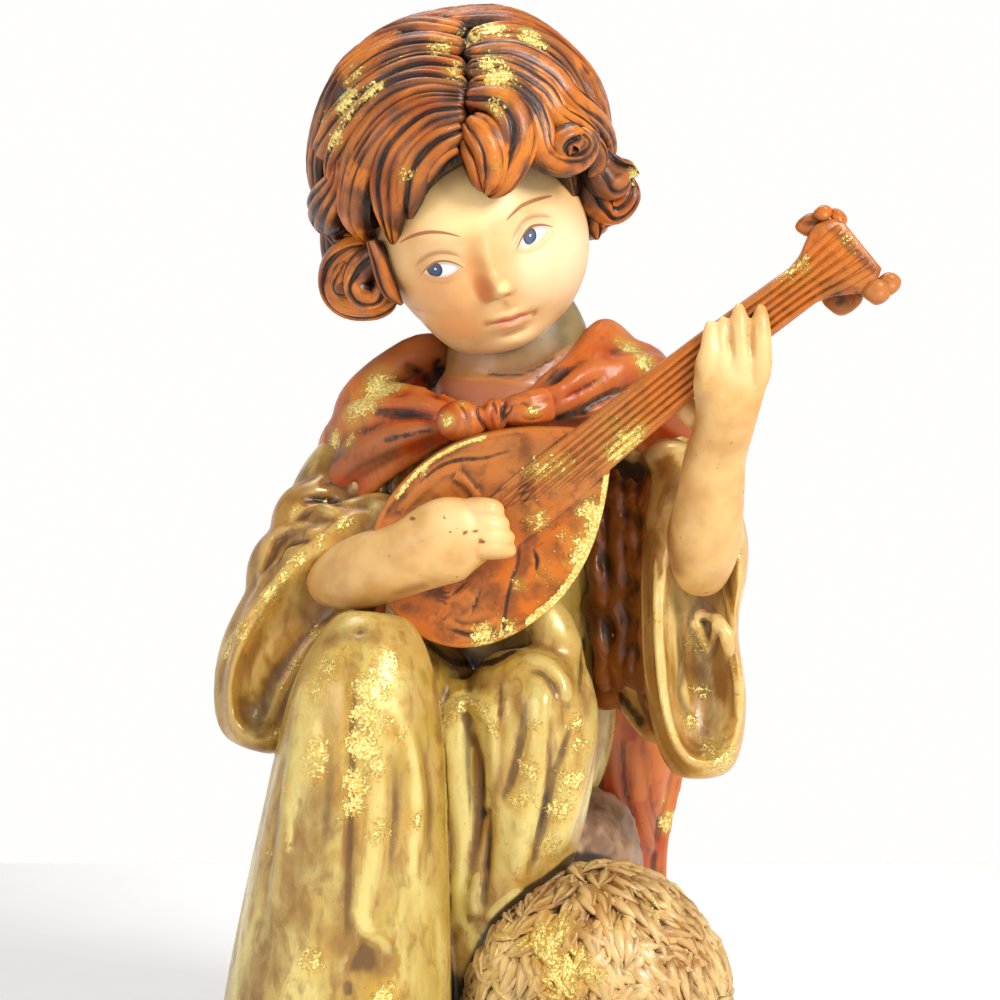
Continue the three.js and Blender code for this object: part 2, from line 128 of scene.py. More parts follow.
def form(spine, across, thick=None, side=(1, 0, 0), sides=56, steps=48, blunt=4, ripple=None):
    # a rounded member: ellipses along a smooth spine, with domed ends
    thick = across if thick is None else thick
    t = 0.5 - 0.5 * np.cos(np.pi * (np.arange(steps + 1) + 0.35) / (steps + 0.7))
    swell = (1 - np.abs(2 * t - 1) ** blunt) ** (1 / blunt)
    centre = curveAt(spine, t)
    run = unit(curveAt(spine, np.minimum(t + 1e-4, 1)) - curveAt(spine, np.maximum(t - 1e-4, 0)))
    wide = unit(np.array(side, float) - run * (run @ np.array(side, float))[:, None])
    deep = np.cross(run, wide)
    turn = 2 * np.pi * np.arange(sides) / sides
    out = ripple(turn[None, :], t[:, None]) if ripple else 0.0
    w = (curveAt(across, t)[:, None] + out) * swell[:, None] * np.cos(turn)
    d = (curveAt(thick, t)[:, None] + out) * swell[:, None] * np.sin(turn)
    rings = centre[:, None] + w[..., None] * wide[:, None] + d[..., None] * deep[:, None]
    return closeRings(rings)


def egg(centre, half, pole=2, **rest):
    # an ellipsoid whose poles lie along the axis numbered in pole
    ends = [[c + s * half[i] * (i == pole) for i, c in enumerate(centre)] for s in (-1, 0, 1)]
    wide, deep = [(1, 2), (0, 2), (0, 1)][pole]
    side = [0, 0, 0]
    side[wide] = 1
    rest.setdefault("blunt", 2)
    return form(ends, half[wide], half[deep], side, **rest)


def pleated(*folds):
    # soft ridges and furrows round a member: degrees round it at the start and at the end, width, height
    def ripple(turn, t):
        out = 0.0
        for start, end, width, height in folds:
            away = (np.degrees(turn) - start - (end - start) * t + 180) % 360 - 180
            out = out + height * np.exp(-((away / width) ** 2))
        return out
    return ripple


def moved(verts, matrix):
    m = np.array(matrix)
    return verts @ m[:3, :3].T + m[:3, 3]


def meshOf(name, verts, faces):
    mesh = bpy.data.meshes.new(name)
    mesh.from_pydata((np.asarray(verts) * mm).tolist(), [], faces)
    thing = bpy.data.objects.new(name, mesh)
    bpy.context.scene.collection.objects.link(thing)
    return thing


def joined(forms):
    verts, faces, base = [], [], 0
    for v, f in forms:
        verts.append(v)
        faces += [[i + base for i in q] for q in f]
        base += len(v)
    return np.concatenate(verts), faces


def applied(thing):
    # the evaluated mesh takes the place of the modifiers
    grid = bpy.context.evaluated_depsgraph_get()
    mesh = bpy.data.meshes.new_from_object(thing.evaluated_get(grid))
    thing.modifiers.clear()
    old = thing.data
    thing.data = mesh
    bpy.data.meshes.remove(old)
    return thing


def arraysOf(thing):
    mesh = thing.data
    co = np.empty(len(mesh.vertices) * 3, np.float32)
    mesh.vertices.foreach_get("co", co)
    loops = np.empty(len(mesh.loops), np.int32)
    mesh.loops.foreach_get("vertex_index", loops)
    sizes = np.empty(len(mesh.polygons), np.int32)
    mesh.polygons.foreach_get("loop_total", sizes)
    starts = np.concatenate([[0], np.cumsum(sizes)[:-1]])
    faces = [loops[a:a + n].tolist() for a, n in zip(starts, sizes)]
    return co.reshape(-1, 3).astype(float) / mm, faces


def remeshed(thing, voxel):
    fuse = thing.modifiers.new("fuse", "REMESH")
    fuse.mode = "VOXEL"
    fuse.voxel_size = voxel * mm
    fuse.adaptivity = 0
    return applied(thing)


def fused(name, forms, voxel, hollow=None, after=()):
    # overlapping forms become one skin, the hollows are cut out of it, and the last forms join it
    thing = remeshed(meshOf(name, *joined(forms)), voxel)
    if hollow:
        tool = remeshed(meshOf(name + "Hollow", *joined(hollow)), voxel)
        cut = thing.modifiers.new("cut", "BOOLEAN")
        cut.operation = "DIFFERENCE"
        cut.solver = "MANIFOLD"
        cut.object = tool
        applied(thing)
        bpy.data.objects.remove(tool)
        if after:
            rest = arraysOf(thing)
            bpy.data.objects.remove(thing)
            thing = meshOf(name, *joined([rest, *after]))
        remeshed(thing, voxel)
    verts, faces = arraysOf(thing)
    bpy.data.objects.remove(thing)
    return verts, faces


class Skin:
    # a surface that can be smoothed, carved and measured before it becomes a piece
    def __init__(self, verts, faces):
        self.verts = np.asarray(verts, float)
        self.faces = faces
        triangles = []
        edges = []
        for size in (3, 4):
            f = np.array([q for q in faces if len(q) == size])
            if len(f):
                for a in range(1, size - 1):
                    triangles.append(f[:, [0, a, a + 1]])
                for a in range(size):
                    edges.append(f[:, [a, (a + 1) % size]])
        self.triangles = np.concatenate(triangles)
        both = np.concatenate(edges)
        self.edges = np.concatenate([both, both[:, ::-1]])
        self.count = np.maximum(np.bincount(self.edges[:, 0], minlength=len(self.verts)), 1)
        self.crease = np.zeros(len(self.verts))  # 1 along a carved groove
        self.crest = np.zeros(len(self.verts))  # 1 along a raised fold

    def spread(self, values):
        # the mean over each point's neighbours
        values = np.asarray(values, float)
        if values.ndim == 1:
            return np.bincount(self.edges[:, 0], values[self.edges[:, 1]], len(self.verts)) / self.count
        return np.stack([self.spread(values[:, i]) for i in range(values.shape[1])], 1)

    def smooth(self, rounds):
        for _ in range(rounds):
            self.verts += (self.spread(self.verts) - self.verts) * 0.5
        return self

    def normals(self):
        a, b, c = (self.verts[self.triangles[:, i]] for i in range(3))
        n = np.cross(b - a, c - a)
        size = len(self.verts)
        total = [sum(np.bincount(self.triangles[:, i], n[:, k], size) for i in range(3)) for k in range(3)]
        return unit(np.stack(total, 1))

    def tree(self):
        return BVHTree.FromPolygons(self.verts.tolist(), self.triangles.tolist())

    def carve(self, strokes):
        # each stroke: its line on the picture, half width, and height outwards or, below zero, inwards
        tree = self.tree()
        normals = self.normals()
        push = np.zeros(len(self.verts))
        for drawn, width, height in strokes:
            path = onto(tree, drawn)
            if len(path) < 2:
                continue
            low, high = path.min(0) - 4 * width, path.max(0) + 4 * width
            near = np.where(np.all((self.verts > low) & (self.verts < high), axis=1))[0]
            if not len(near):
                continue
            best = np.full(len(near), 1e9)
            place = np.zeros(len(near))
            for i, spot in enumerate(path):
                gap = np.linalg.norm(self.verts[near] - spot, axis=1)
                closer = gap < best
                best[closer] = gap[closer]
                place[closer] = i / (len(path) - 1)
            ends = 0.2 if height > 0 else 0.35  # the share of the line over which it rises or sinks
            fade = np.clip(np.minimum(place, 1 - place) / ends, 0, 1) ** 0.8
            push[near] += height * np.exp(-((best / width) ** 2)) * fade
            strong = min(abs(height) / 1.2, 1) * fade * np.exp(-((best / (0.75 * width)) ** 2))
            mark = self.crease if height < 0 else self.crest
            mark[near] = np.maximum(mark[near], strong)
        self.verts += normals * push[:, None]
        return self

    def hollows(self):
        # above zero in a furrow and below zero on a ridge, in millimetres: first fine, then broad
        normals = self.normals()
        out = []
        for rounds in (3, 14):
            soft = self.verts
            for _ in range(rounds):
                soft = self.spread(soft)
            out.append(np.einsum("ij,ij->i", soft - self.verts, normals))
        return out


def onto(tree, path):
    # a path drawn on the picture, laid on the first surface that each ray meets
    length = np.linalg.norm(np.diff(path, axis=0), axis=1).sum()
    out = []
    for px, py in curveAt(path, np.linspace(0, 1, max(8, int(length / 2)))):
        hit = tree.ray_cast(Vector(eyePoint), Vector(rayThrough(px, py)))[0]
        if hit is not None:
            out.append(np.array(hit))
    return np.array(out).reshape(-1, 3)


pieces = {}  # name to skin, filled as the forms are made and dressed at the end


# the low ground and the rock seat; relief is its height and size
groundSet = {"half": (75, 65), "height": 12, "sides": 160, "voxel": 1.9, "relief": ((1.1, 16), (0.35, 5))}


def lumps(verts, size, seed):
    # smooth uneven relief from a few waves of chosen directions
    rng = np.random.default_rng(seed)
    out = np.zeros(len(verts))
    for k in range(9):
        way = unit(rng.normal(size=3)) * 2 * np.pi / (size * (0.6 + 0.9 * k / 8))
        out += np.sin(verts @ way + rng.uniform(0, 6.28)) / 9 ** 0.5
    return out


def makeGround():
    rims = [(0.03, 0.955), (0.1, 0.985), (0.3, 1), (0.75, 0.985), (1, 0.93), (1.05, 0.8), (1.02, 0.4)]
    sides = groundSet["sides"]
    turn = 2 * np.pi * np.arange(sides) / sides
    reach = 1 + 0.02 * np.sin(5 * turn + 1) + 0.02 * np.cos(7 * turn)
    wide, deep = groundSet["half"]
    rings = [np.stack([wide * share * reach * np.cos(turn), deep * share * reach * np.sin(turn),
                       np.full(sides, height * groundSet["height"])], 1) for height, share in rims]
    disc = closeRings(np.array(rings))
    rock = form([(4, 14, 4), (4, 14, 46), (6, 14, 92)], (52, 46, 36), (40, 38, 30), blunt=6)
    skin = Skin(*fused("ground", [disc, rock], groundSet["voxel"])).smooth(6)
    free = np.clip((skin.verts[:, 2] - 2) / 4, 0, 1)
    for seed, (high, size) in enumerate(groundSet["relief"], 3):
        skin.verts += skin.normals() * (free * high * lumps(skin.verts, size, seed))[:, None]
    skin.verts[:, 2] = np.maximum(skin.verts[:, 2], 0.0)
    pieces["ground"] = skin


robeSet = {"voxel": 1.05, "soften": 4}


def makeRobe():
    trunk = form([(4, 22, 78), (5, 20, 110), (7, 14, 150), (9, 12, 184), (10, 12, 206)],
                 (34, 34, 30, 34, 16), (26, 26, 21, 19, 12))
    nearThigh = form([(-10, 24, 102), (-20, -2, 116), (-26, -30, 122)], (22, 21, 17), (22, 21, 18))
    nearShin = form([(-26, -32, 143), (-28, -36, 122), (-31, -36, 88), (-35, -34, 46), (-38, -32, 9)],
                    (12, 19, 24, 29, 33), (12, 19, 22, 26, 28), sides=140, steps=110, blunt=6,
                    ripple=pleated((200, 196, 12, 1.2), (228, 228, 12, -1.6), (176, 172, 10, -0.8),
                                   (12, 14, 10, 0.8)))
    farThigh = form([(12, 22, 100), (14, 0, 110), (14.5, -24, 113)], (20, 18.5, 17.5), (22, 20, 14))
    farSkirt = form([(14, -19, 132), (14.8, -23, 112), (12.5, -21, 88), (5, -16, 58), (0, -12, 12)],
                    (18, 17.8, 16.4, 15, 19), (13, 16, 16, 16, 18), sides=140, steps=110)
    bellyFold = form([(12, -13, 150), (20, -19, 137), (26, -20, 124)], (5, 6.5, 5))
    # the cloth between the two legs
    web = form([(-4.4, -20, 124), (-4.2, -22.5, 113), (-3.4, -23.5, 100), (-3.2, -24, 84), (-4, -25, 66)],
               (5, 6, 6, 5.4, 4), (5, 7, 7, 6, 5))
    parts = [trunk, nearThigh, nearShin, farThigh, farSkirt, bellyFold, web]
    skin = Skin(*fused("robe", parts, robeSet["voxel"]))
    pieces["robe"] = skin.smooth(robeSet["soften"]).carve(robeStrokes).smooth(1)


# folds, here and on the other pieces: the line on the picture, half width and height
robeStrokes = [
    ([(359, 638), (356, 677), (353, 715), (352, 753), (351, 804), (349, 855), (347, 919), (347, 962)],
     1.4, -0.8),
    ([(366, 684), (375, 728), (379, 779), (379, 830), (376, 868), (367, 906), (362, 924)], 3, 0.9),
    ([(384, 702), (402, 730), (413, 766), (419, 804), (417, 842), (413, 878)], 2.6, 0.8),
    ([(387, 743), (395, 779), (396, 817), (391, 855), (384, 888)], 2.4, -0.7),
    ([(404, 710), (422, 743), (431, 791), (430, 842), (424, 893)], 2.8, -0.6),
    ([(320, 661), (305, 684), (294, 728), (288, 779), (283, 830), (277, 893), (270, 957)], 3.2, 0.8),
    ([(333, 684), (325, 722), (329, 758), (328, 804), (320, 855), (312, 893)], 3.4, -0.8),
    ([(302, 697), (289, 733), (282, 779), (277, 817), (270, 868), (261, 932)], 2, -0.6),
    ([(348, 955), (363, 960), (381, 957)], 5, -1.4),
    ([(363, 901), (358, 916), (366, 934), (384, 944), (394, 962)], 1.8, 0.7),
    ([(347, 978), (349, 1000)], 1.6, -0.7), ([(353, 636), (366, 628)], 1.2, -0.6),
    ([(447, 724), (455, 707), (470, 703), (486, 715), (495, 736), (494, 765), (488, 790)], 2.4, 1.5),
    ([(450, 717), (452, 756), (457, 804), (462, 838), (460, 887), (455, 935)], 3.2, 2.2),
    ([(472, 728), (479, 760), (480, 800), (477, 838), (474, 875)], 1.6, -1.5),
    ([(499, 672), (500, 700), (499, 740)], 0.8, -0.6),
    ([(536, 673), (543, 700), (543, 741), (536, 790), (523, 838), (516, 887)], 3.4, 2.2),
    ([(524, 690), (524, 722), (518, 756), (507, 790), (499, 805)], 1.7, -0.8),
    ([(546, 700), (549, 741), (546, 785), (537, 838), (528, 875)], 1.8, -1.4),
    ([(594, 690), (586, 741), (575, 790), (560, 833), (550, 860)], 4, 2.2),
    ([(574, 715), (562, 752), (549, 800), (544, 845)], 1.7, -0.8),
    ([(522, 656), (547, 666), (562, 684), (564, 706)], 2.3, 1.8),
    ([(527, 667), (545, 678), (555, 695), (553, 712)], 1.4, -0.7),
    ([(490, 795), (487, 838), (484, 880), (481, 905)], 1.6, -1.8),
    ([(474, 806), (481, 815), (490, 806)], 1, -0.8),
    ([(484, 868), (477, 887), (474, 905), (477, 918)], 1.8, 1.6),
    ([(524, 887), (508, 898), (494, 912), (486, 922)], 1.6, 1.4),
    ([(585, 630), (583, 668), (579, 698)], 1.4, -1), ([(401, 448), (394, 476), (385, 505)], 1.6, 1.1),
    ([(421, 437), (411, 457), (397, 486)], 1.6, 1.1), ([(395, 443), (388, 472), (382, 495)], 1.2, -1.2),
    ([(410, 443), (403, 469), (392, 495)], 1.1, -1.1), ([(444, 436), (430, 443), (418, 457)], 1.3, 0.8),
]


sleeveSet = {
    "voxel": 0.9,
    "soften": 4,
    "waist": (2.6, 138, 13),  # how far the left one draws in, at which height, and over how much of it
}


def makeSleeves():
    slant = (0.75, 0, 0.65)
    arm = form([(-16, 12, 188), (-32, 6, 172), (-41, 0, 150)], (15, 16, 15), (14, 14, 14), (0.8, 0, 0.6))
    bell = form([(-20, -12, 170), (-37, -12, 152), (-51, -15, 130), (-58.5, -18, 105)], (7, 15, 15, 12),
                (8, 14, 15, 13), slant, sides=96, steps=80,
                ripple=pleated((180, 180, 16, 1.5), (150, 150, 12, -1.2), (215, 215, 12, -1.2)))
    pocket = form([(-25, -33, 161), (-40, -32, 146), (-52, -34, 127), (-58.5, -35, 110)],
                  (5.5, 12.2, 12.8, 9.6), (9, 14, 16, 14), slant, sides=96, steps=80)
    puffs = [form(spine, (4, 6, 5), 7) for spine in (
        [(-35, -2, 171), (-46, -4, 168), (-51, -4, 158)], [(-42, -2, 162), (-53, -4, 155), (-57, -8, 142)])]
    skin = Skin(*fused("rightSleeve", [arm, bell, *puffs], sleeveSet["voxel"], [pocket]))
    skin.smooth(sleeveSet["soften"])
    pieces["rightSleeve"] = skin.carve(rightSleeveStrokes).smooth(1)

    arm = form([(36, 14, 194), (49, 8, 178), (55, 0, 156)], (15, 16, 14), (15, 15, 14), (0.8, 0, -0.6))
    bell = form([(53, -6, 184), (58, -10, 160), (58, -13, 132), (60, -14, 97)], (9, 14, 14, 13),
                (10, 17, 19, 15), sides=96, steps=80)
    back = form([(44, 12, 184), (45, 8, 150), (48, 4, 122), (52, 0, 104)], (10, 13, 12, 8), (12, 15, 14, 10))
    pocket = form([(60.5, -31, 174), (60, -32, 148), (60.5, -33, 124), (61, -33, 103)],
                  (8.4, 11.6, 11.2, 10.2), (12, 20, 21, 17), sides=96, steps=80)
    puff = egg((51.5, -9, 181.5), (7, 6, 4.6))
    knotted = form([(63, -20, 141), (67, -24, 137), (68, -23, 130)], (1.8, 2.6, 1.4), (2, 2.4, 2))
    skin = Skin(*fused("leftSleeve", [arm, bell, back, puff], sleeveSet["voxel"], [pocket], [knotted]))
    skin.smooth(sleeveSet["soften"])
    x, _, z = skin.verts.T
    waist, level, reach = sleeveSet["waist"]
    skin.verts[:, 0] = x - waist * np.exp(-(((z - level) / reach) ** 2)) * np.clip((x - 60) / 9, 0, 1)
    pieces["leftSleeve"] = skin.carve(leftSleeveStrokes).smooth(1)


rightSleeveStrokes = [
    ([(318, 533), (299, 528), (279, 533), (267, 548), (263, 569), (260, 589)], 1.7, 1.4),
    ([(313, 541), (295, 541), (281, 553), (274, 569)], 1.3, -1.6),
    ([(345, 518), (327, 509), (309, 507), (296, 513), (291, 525)], 1.7, 1.3),
    ([(350, 509), (332, 502), (313, 500), (299, 507)], 1.2, -1.5),
    ([(382, 516), (364, 513), (345, 520), (322, 539), (299, 555), (279, 578), (259, 602), (237, 631),
      (224, 658), (217, 688)], 1.2, 0.9),
    ([(380, 598), (357, 609), (332, 624), (311, 642), (296, 665), (282, 690), (272, 716), (260, 738)],
     1.4, 0.9),
    ([(309, 619), (281, 642), (260, 670), (249, 704)], 3, 0.8),
    ([(373, 456), (372, 474), (375, 493)], 1.2, -1.4), ([(394, 451), (390, 474), (388, 500)], 1.2, -1.5),
    ([(341, 465), (354, 474), (361, 493)], 2, 1), ([(318, 486), (336, 481), (350, 493)], 1.6, -1),
]
leftSleeveStrokes = [
    ([(656, 558), (656, 602), (658, 653), (663, 700), (674, 739), (691, 764)], 1.1, 0.9),
    ([(723, 578), (730, 611), (732, 653), (737, 688), (738, 725)], 1.1, 0.9),
    ([(674, 582), (680, 623), (682, 664), (680, 694), (691, 725)], 2.4, -0.6),
    ([(693, 619), (701, 635), (710, 653)], 1, 1.9),
    ([(693, 619), (703, 614), (716, 623), (711, 649)], 0.9, 1.5),
    ([(617, 623), (615, 653), (619, 674)], 2.2, 1.2),
    ([(629, 582), (629, 643), (638, 694), (658, 741)], 1.8, -1),
    ([(644, 541), (644, 602), (646, 664), (654, 711)], 1.6, 0.7),
    ([(651, 439), (668, 431), (688, 443)], 1.4, 0.9),
]


cloakSet = {"voxel": 1.3, "soften": 3, "bowVoxel": 0.45, "liningVoxel": 0.8, "liningRelief": (0.8, 8)}


def makeCloak():
    def draped(turn, t):
        # folds that deepen towards the ground, faint on the side of the child
        return (0.6 + 2.4 * t) * np.cos(11 * turn) * np.where(np.sin(turn) < 0.3, 1, 0.2)

    back = form([(9, 16, 216), (8, 24, 194), (6, 32, 150), (7, 36, 106), (7, 37, 60), (8, 37, 6)],
                (18, 38, 48, 52, 45, 56), (9, 15, 19, 20, 20, 23), sides=220, steps=150, blunt=5,
                ripple=draped)
    right = form([(0, -22, 193), (-14, -14, 191), (-28, -2, 185), (-37, 12, 171), (-33, 28, 158)],
                 (3.5, 9, 14, 19, 20), (4, 6, 8, 8, 8), (0.3, 0, 1), sides=96, steps=80,
                 ripple=lambda turn, t: 1.2 * np.cos(6 * turn))
    left = form([(11, -22, 194), (27, -12, 198), (42, -2, 198), (52, 12, 188), (48, 28, 172)],
                (3.5, 10, 14, 18, 20), (4, 7, 9, 9, 9), (-0.3, 0, 1), sides=96, steps=80,
                ripple=lambda turn, t: 1.2 * np.cos(6 * turn))
    # the collar stands up on both sides of the neck, higher on the left
    ridge = form([(22, -13, 198), (28, -8, 205), (34, 1, 211), (40.5, 8, 206.8), (48, 14, 197.5)],
                 (4, 5, 4.8, 5, 5), (5, 6, 7, 7, 6))
    lowRidge = form([(-36, 8, 190), (-30, 3, 198), (-22, 2, 204.6), (-14, 5, 208), (-5, 12, 209)],
                    (5, 5, 5, 5, 4), (6, 6, 6, 6, 5))
    skin = Skin(*fused("cloak", [back, right, left, ridge, lowRidge], cloakSet["voxel"]))
    skin.smooth(cloakSet["soften"]).carve(cloakStrokes)
    skin.verts[:, 2] = np.maximum(skin.verts[:, 2], 1.0)
    pieces["cloak"] = skin.smooth(1)

    knot = egg((5.2, -26.5, 193.6), (3.9, 3.8, 4.5), sides=64, ripple=lambda turn, t: 0.5 * np.cos(9 * turn))
    loops = [form([(3, -25.5, 193), (-2.5, -27.5, 192.4), (-9.5, -26, 191.5)], (3.6, 5.4, 4.8), (3.4, 5, 4.2),
                  side=(0, 0, 1), sides=64, blunt=3, ripple=pleated((60, 80, 12, -0.7), (115, 100, 14, 0.4))),
             form([(7.5, -25, 194.4), (13, -27, 195.2), (20, -24.5, 196.2)], (3.6, 4.6, 5.2), (3.4, 4.6, 4),
                  side=(0, 0, 1), sides=64, blunt=5, ripple=pleated((70, 60, 12, -0.7), (120, 130, 14, 0.4)))]
    pieces["bow"] = Skin(*fused("bow", [knot, *loops], cloakSet["bowVoxel"])).smooth(2).carve(bowStrokes)

    # the brown lining that hangs in folds between the lute and the left sleeve
    hung = ((32, 3, 3.2, 3), (37.5, 0, 2.6, 1), (41.5, -2, 2.2, 0), (46, -7, 3.2, -1))
    folds = [form([(x, y, 178), (x + 1, y - 3, 150), (x + lean, y - 2, 118)], (wide, wide + 0.8, wide), 6)
             for x, y, wide, lean in hung]
    wall = form([(38, 10, 182), (39, 7, 150), (38, 6, 112)], (9, 10, 8), (8, 8, 8))
    skin = Skin(*fused("lining", [wall, *folds], cloakSet["liningVoxel"])).smooth(2)
    high, size = cloakSet["liningRelief"]
    skin.verts += skin.normals() * (high * lumps(skin.verts, size, 8))[:, None]
    pieces["lining"] = skin


bowStrokes = [
    ([(480, 399), (479, 412), (485, 429)], 0.7, -1.1), ([(493, 401), (496, 412), (499, 424)], 0.5, -0.7),
    ([(506, 399), (503, 410), (502, 420)], 0.5, -0.7), ([(512, 405), (508, 413), (500, 422)], 0.5, -0.5),
    ([(455, 401), (464, 410), (469, 426)], 0.9, -0.4), ([(520, 402), (533, 407), (546, 404)], 0.7, -0.5),
    ([(518, 417), (532, 420), (546, 416)], 0.7, -0.4),
]
cloakStrokes = [
    ([(444, 410), (421, 398), (397, 387), (374, 389), (350, 401)], 2.2, 1.1),
    ([(437, 421), (416, 415), (397, 413), (378, 411), (362, 415)], 1.4, -1.3),
    ([(440, 424), (416, 424), (392, 429), (369, 441), (350, 453)], 2, 0.9),
    ([(441, 401), (433, 387), (421, 375), (400, 361)], 1.4, -1.4),
    ([(444, 394), (440, 377), (435, 356)], 2, -1.6),
    ([(463, 401), (454, 384), (447, 370)], 1.8, 1.2),
    ([(551, 401), (569, 387), (591, 365), (610, 344)], 2, 1.1),
    ([(549, 387), (560, 376), (572, 366)], 1.2, -1.3),
    ([(551, 408), (574, 398), (605, 384), (633, 370)], 2.2, 1.1),
    ([(551, 396), (569, 393), (598, 380), (621, 365)], 1.3, -0.6),
    ([(553, 417), (574, 413), (595, 401), (621, 387)], 1.3, -1.4),
    ([(607, 717), (615, 765), (624, 814), (641, 853)], 2.2, 1.2),
    ([(602, 722), (600, 790), (615, 819)], 1.4, -0.7),
    ([(631, 741), (634, 790), (646, 833), (656, 853)], 1.8, 1.2),
    ([(621, 736), (622, 778), (631, 814), (646, 848)], 1.3, -0.6),
    ([(646, 756), (653, 804), (663, 838)], 1.4, -0.5),
    ([(601, 558), (599, 594), (599, 639), (599, 670)], 1, -1.4),
    ([(615, 553), (619, 568), (631, 570)], 1.1, -1.2),
    ([(611, 586), (609, 623), (611, 653)], 1.4, 1.2),
    ([(625, 578), (625, 613), (627, 643)], 1.2, -1.4),
]


headSet = {
    "origin": (-1, -2, 241.5),  # between the ears, at the height of the eyes
    "nod": 14,
    "lean": 18,
    "turn": 5,
    "faceHalf": (28, 32, 33),
    "faceDrop": 3,
    "hairCentre": (4.2, 7, 19),
    "hairHalf": (35.4, 36.5, 35.4),
    "curlMiddle": 1.5,  # the curls at the edge hang round this x
    "neckVoxel": 1.0,
}
mapSide = 100  # millimetres that make one unit of the maps of the face and the hair
headPlace = (Matrix.Translation(headSet["origin"]) @ Matrix.Rotation(math.radians(headSet["turn"]), 4, "Z")
             @ Matrix.Rotation(math.radians(-headSet["lean"]), 4, "Y")
             @ Matrix.Rotation(math.radians(headSet["nod"]), 4, "X"))
headBack = headPlace.inverted()

faceSet = {
    "eyeAside": 12.4,
    "leftUp": 1.0,  # how much higher the features sit on the child's left
    "slimmer": 3.6,  # what the right cheek loses
    "rings": 150,
    "sides": 220,
    # of each rim and crease: its lift, place above the middle of the eye, bend and thickness
    "lids": ((0.75, 2.5, -0.1, 0.75), (-0.5, 4.3, -0.07, 0.6), (0.4, -2.5, 0.08, 0.6)),
    # x, z, half width, half height, lift in millimetres
    "features": [
        (0, 18, 14, 10, 1.0), (-12, 9, 8, 3, 0.5), (12, 9, 8, 3, 0.5),  # forehead and brows
        (-12.6, 0.4, 7.6, 4.8, -2.3), (12.6, 0.4, 7.6, 4.8, -2.3),  # sockets
        (-12.4, 0.0, 5.4, 3.2, 1.5), (12.4, 0.0, 5.4, 3.2, 1.5),  # eyeballs
        (-0.8, -1, 2.4, 7, 2.0), (-0.4, -7.6, 2.7, 2.9, 4.2),  # bridge and tip of the nose
        (-2.8, -9.0, 1.6, 1.5, 1.0), (2.0, -9.0, 1.6, 1.5, 1.0),  # wings
        (-1.9, -10.7, 0.9, 0.6, -0.8), (1.1, -10.7, 0.9, 0.6, -0.8),  # nostrils
        (0.4, -13.6, 1.0, 2.2, -0.3), (0.9, -16.7, 4.2, 1.5, 1.6), (0.9, -20.2, 3.6, 1.6, 1.8),  # lips
        (1.0, -23.4, 4.2, 1.6, -0.6), (1.4, -27.5, 6.0, 4.0, 2.2),  # hollow and chin
        (-14, -11, 9, 8.5, 1.8), (14, -11, 9, 8.5, 1.8),  # cheeks
        (-5.2, -17.8, 1.4, 1.3, -0.5), (7.0, -19.5, 1.3, 1.3, -0.6),  # corners of the mouth
    ],
}


def makeFace():
    half = headSet["faceHalf"]
    n, m = faceSet["rings"], faceSet["sides"]
    polar = (np.pi * (0.004 + 0.99 * (np.arange(n + 1) / n) ** 1.6))[:, None]
    turn = (2 * np.pi * np.arange(m) / m)[None, :]
    x = half[0] * np.sin(polar) * np.cos(turn)
    level = half[2] * np.sin(polar) * np.sin(turn) - headSet["faceDrop"]
    z = level - faceSet["leftUp"] * np.clip((x - 7) / 5, 0, 1)
    weight = np.clip(3 * np.cos(polar), 0, 1) + 0 * turn
    lift = 0.0
    for cx, cz, rx, rz, high in faceSet["features"]:
        lift = lift + high * np.exp(-(((x - cx) / rx) ** 2) - ((z - cz) / rz) ** 2)
    for s in (-1, 1):  # lids: a rim over and under each eyeball and a crease above
        dx = x - faceSet["eyeAside"] * s
        inside = np.exp(-((dx / 5.1) ** 4))
        for high, up, bend, thin in faceSet["lids"]:
            lift = lift + high * inside * np.exp(-(((z - up - bend * dx ** 2) / thin) ** 2))
    dx = x - 0.9  # the line between the lips dips in the middle
    line = -18.3 - 0.3 * np.cos(dx * 1.2) * np.exp(-((dx / 4) ** 2)) - 0.09 * dx
    lift = lift - 1.0 * np.exp(-((dx / 5.6) ** 6)) * np.exp(-(((z - line) / 0.5) ** 2))
    depth = half[1] * np.where(np.cos(polar) > 0, 1, 0.8)
    y = -depth * np.cos(polar) - lift * weight
    wide = x + 2.2 * np.clip((x - 12) / 16, 0, 1) ** 1.4
    wide = wide + faceSet["slimmer"] * np.clip((-x - 10) / 14, 0, 1) ** 1.2 * np.clip((-level - 1) / 12, 0, 1)
    tall = level + 1.3 * np.clip((-level - 18) / 18, 0, 1)
    tall = tall + 1.2 * np.clip((-x - 8) / 14, 0, 1) * np.clip((-level - 8) / 12, 0, 1)
    drawn = closeRings(np.stack([x + 0 * y, y, z + 0 * y], -1))[0]
    verts, faces = closeRings(np.stack([wide + 0 * y, y, tall + 0 * y], -1))
    skin = Skin(moved(verts, headPlace), faces)
    skin.uv = drawn[:, [0, 2]] / mapSide + 0.5
    pieces["face"] = skin
    neck = form([(11, 4, 194), (11.5, 4, 204), (11, 3, 212), (6, 2, 230)],
                (19.5, 19.5, 19, 15), (18, 18, 16, 14))
    tunic = form([(8, 4, 180), (9, 3, 192), (10, 3, 203)], (22, 21, 19.8), (25, 22, 18.4), blunt=5)
    seam = [(470, 372), (490, 374), (511, 376), (531, 371), (553, 359), (576, 342)]
    skin = Skin(*fused("neck", [neck, tunic], headSet["neckVoxel"])).smooth(4)
    pieces["neck"] = skin.carve([(seam, 0.8, -0.8)])


hairSet = {
    "strandWidth": 3.7,
    "groove": 1.7,
    "sides": 32,
    "steps": 48,
    "capInset": 1.9,
    "window": ((5.2, -38.6, -12), (35, 38, 39.2)),  # centre and half sizes of what is cut out for the face
    "nape": ((0, -12, -42), (60, 60, 28)),
}


